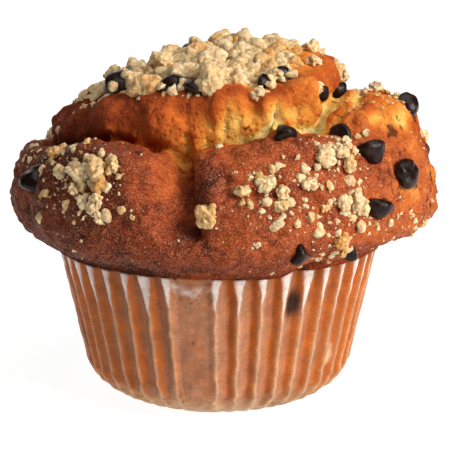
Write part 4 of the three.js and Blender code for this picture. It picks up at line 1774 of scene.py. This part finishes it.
        # The panel's top edge catches the light in an arc.
        middle = 360 + (self.panel_start + self.panel_end) / 2
        across = (sheet.azimuth - middle) * 2 / (self.panel_end - self.panel_start)
        glare = np.exp(-((down - 3.6 + 2.4 * across**2) ** 2)) * panel
        glare *= 0.65 * ease(noise.hills(rest + 5, 2.4) + 0.6)
        line = np.exp(-((from_ridge * self.pleat_pitch / self.fold_line) ** 2))
        line = line * (0.45 + 0.1 * low) * (1 - panel)
        dots = ease((noise.hills(rest, 0.95) - 0.3) / 0.25) * panel * 0.6
        stain = dots * ease((down - 2.5) / 2) * ease((8.5 - down) / 3)
        for spot in self.spots:
            shown = spot.shown(sheet.azimuth, z)
            if spot.shade > 0:
                stain = np.maximum(stain, shown)
            else:
                line = np.maximum(line, shown)
        base = 0.9 * ease((9 - z) / 7) + 0.25 * low * noise.hills(upright + 3, 4)
        return {
            "lifted_and_glare": np.clip(lifted_and_glare + glare, 0, 1),
            "fold": line,
            "stuck": np.clip(soaked, 0, 1),
            "base": np.clip(base, 0, 1),
            "stain": stain,
        }

    def build(self, finish: GreaseproofPaper) -> bpy.types.Object:
        """Makes the case with its pleats, crinkles, and what shows through the paper.

        Args:
            finish: The paper's finish.

        Returns:
            The object paper_case_skin.
        """
        sheet = self.sheet()
        outer, inner = self.skins(sheet)
        kept = np.append(np.arange(0, self.rows, self.inner_row_step), self.rows - 1)[::-1]
        rings = np.concatenate([outer, inner[kept]])
        mesh = skinned("paper_case_skin", rings, np.array([0, 0, 0]), np.array([0, 0, self.wall]))
        for name, value in self.show_through(sheet).items():
            value = value + 0 * sheet.z
            paint(mesh, name, np.concatenate([value, value[kept]]))
        piece = placed(mesh, finish.material())
        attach(piece, "root")
        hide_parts("paper_case")
        log.info("%s: %d vertices", piece.name, len(mesh.vertices))
        return piece


# ------------------------------------------------------------------------------- the studio


@dataclass(frozen=True)
class Softbox:
    """A square soft light that points at the muffin."""

    name: str
    place: tuple[float, float, float]
    size: float
    power: float
    colour: str = "#FFFFFF"


@dataclass(frozen=True)
class Studio:
    """A pale floor, soft lights and the camera."""

    aim: tuple[float, float, float] = (1.9, 0.0, 38.0)
    distance: float = 380
    elevation: float = 13
    lens: float = 132.87
    world: float = 0.02
    lights: tuple[Softbox, ...] = (
        Softbox("key", (0.98, -0.81, 0.62), 0.7, 26.0, "#FFFBF4"),
        Softbox("top", (0.25, -0.35, 1.25), 0.8, 7.0),
        Softbox("back", (-0.4, 1.0, 0.7), 0.8, 5.0),
    )

    def build(self, finish: PaleFloor) -> None:
        """Sets the floor, the lights and the camera.

        Args:
            finish: The floor's finish.
        """
        scene = bpy.context.scene
        scene.view_settings.view_transform = "Standard"
        floor_mesh = bpy.data.meshes.new("floor")
        half = 4.0
        corners = [(-half, -half, 0), (half, -half, 0), (half, half, 0), (-half, half, 0)]
        floor_mesh.from_pydata(corners, [], [(0, 1, 2, 3)])
        placed(floor_mesh, finish.material())
        world = bpy.data.worlds.new("studio_air")
        world.use_nodes = True
        scene.world = world
        background = world.node_tree.nodes["Background"]
        background.inputs["Color"].default_value = srgb("#FFFFFF")
        background.inputs["Strength"].default_value = self.world
        target = Vector(self.aim) * MM
        for box in self.lights:
            light = bpy.data.lights.new(box.name, "AREA")
            light.size = box.size
            light.energy = box.power
            light.color = srgb(box.colour)[:3]
            lamp = bpy.data.objects.new(box.name, light)
            scene.collection.objects.link(lamp)
            lamp.location = box.place
            lamp.rotation_euler = (target - lamp.location).to_track_quat("-Z", "Y").to_euler()
        camera = bpy.data.cameras.new("camera")
        camera.lens = self.lens
        camera.sensor_width = 36
        camera.clip_start = 0.01
        eye = bpy.data.objects.new("camera", camera)
        scene.collection.objects.link(eye)
        tilt = math.radians(self.elevation)
        eye.location = target + Vector((0, -math.cos(tilt), math.sin(tilt))) * self.distance * MM
        eye.rotation_euler = (target - eye.location).to_track_quat("-Z", "Y").to_euler()
        scene.camera = eye


def main() -> None:
    """Builds the muffin and its studio."""
    logging.basicConfig(level=logging.INFO, format="%(message)s")
    Studio().build(PaleFloor())
    crust = CakeCrust().build(BakedCrust())
    Crumble().build(crust, BakedCrumble())
    ChocolateDrops().build(DarkChocolate())
    PaperCase().build(GreaseproofPaper())


if __name__ == "__main__":
    main()
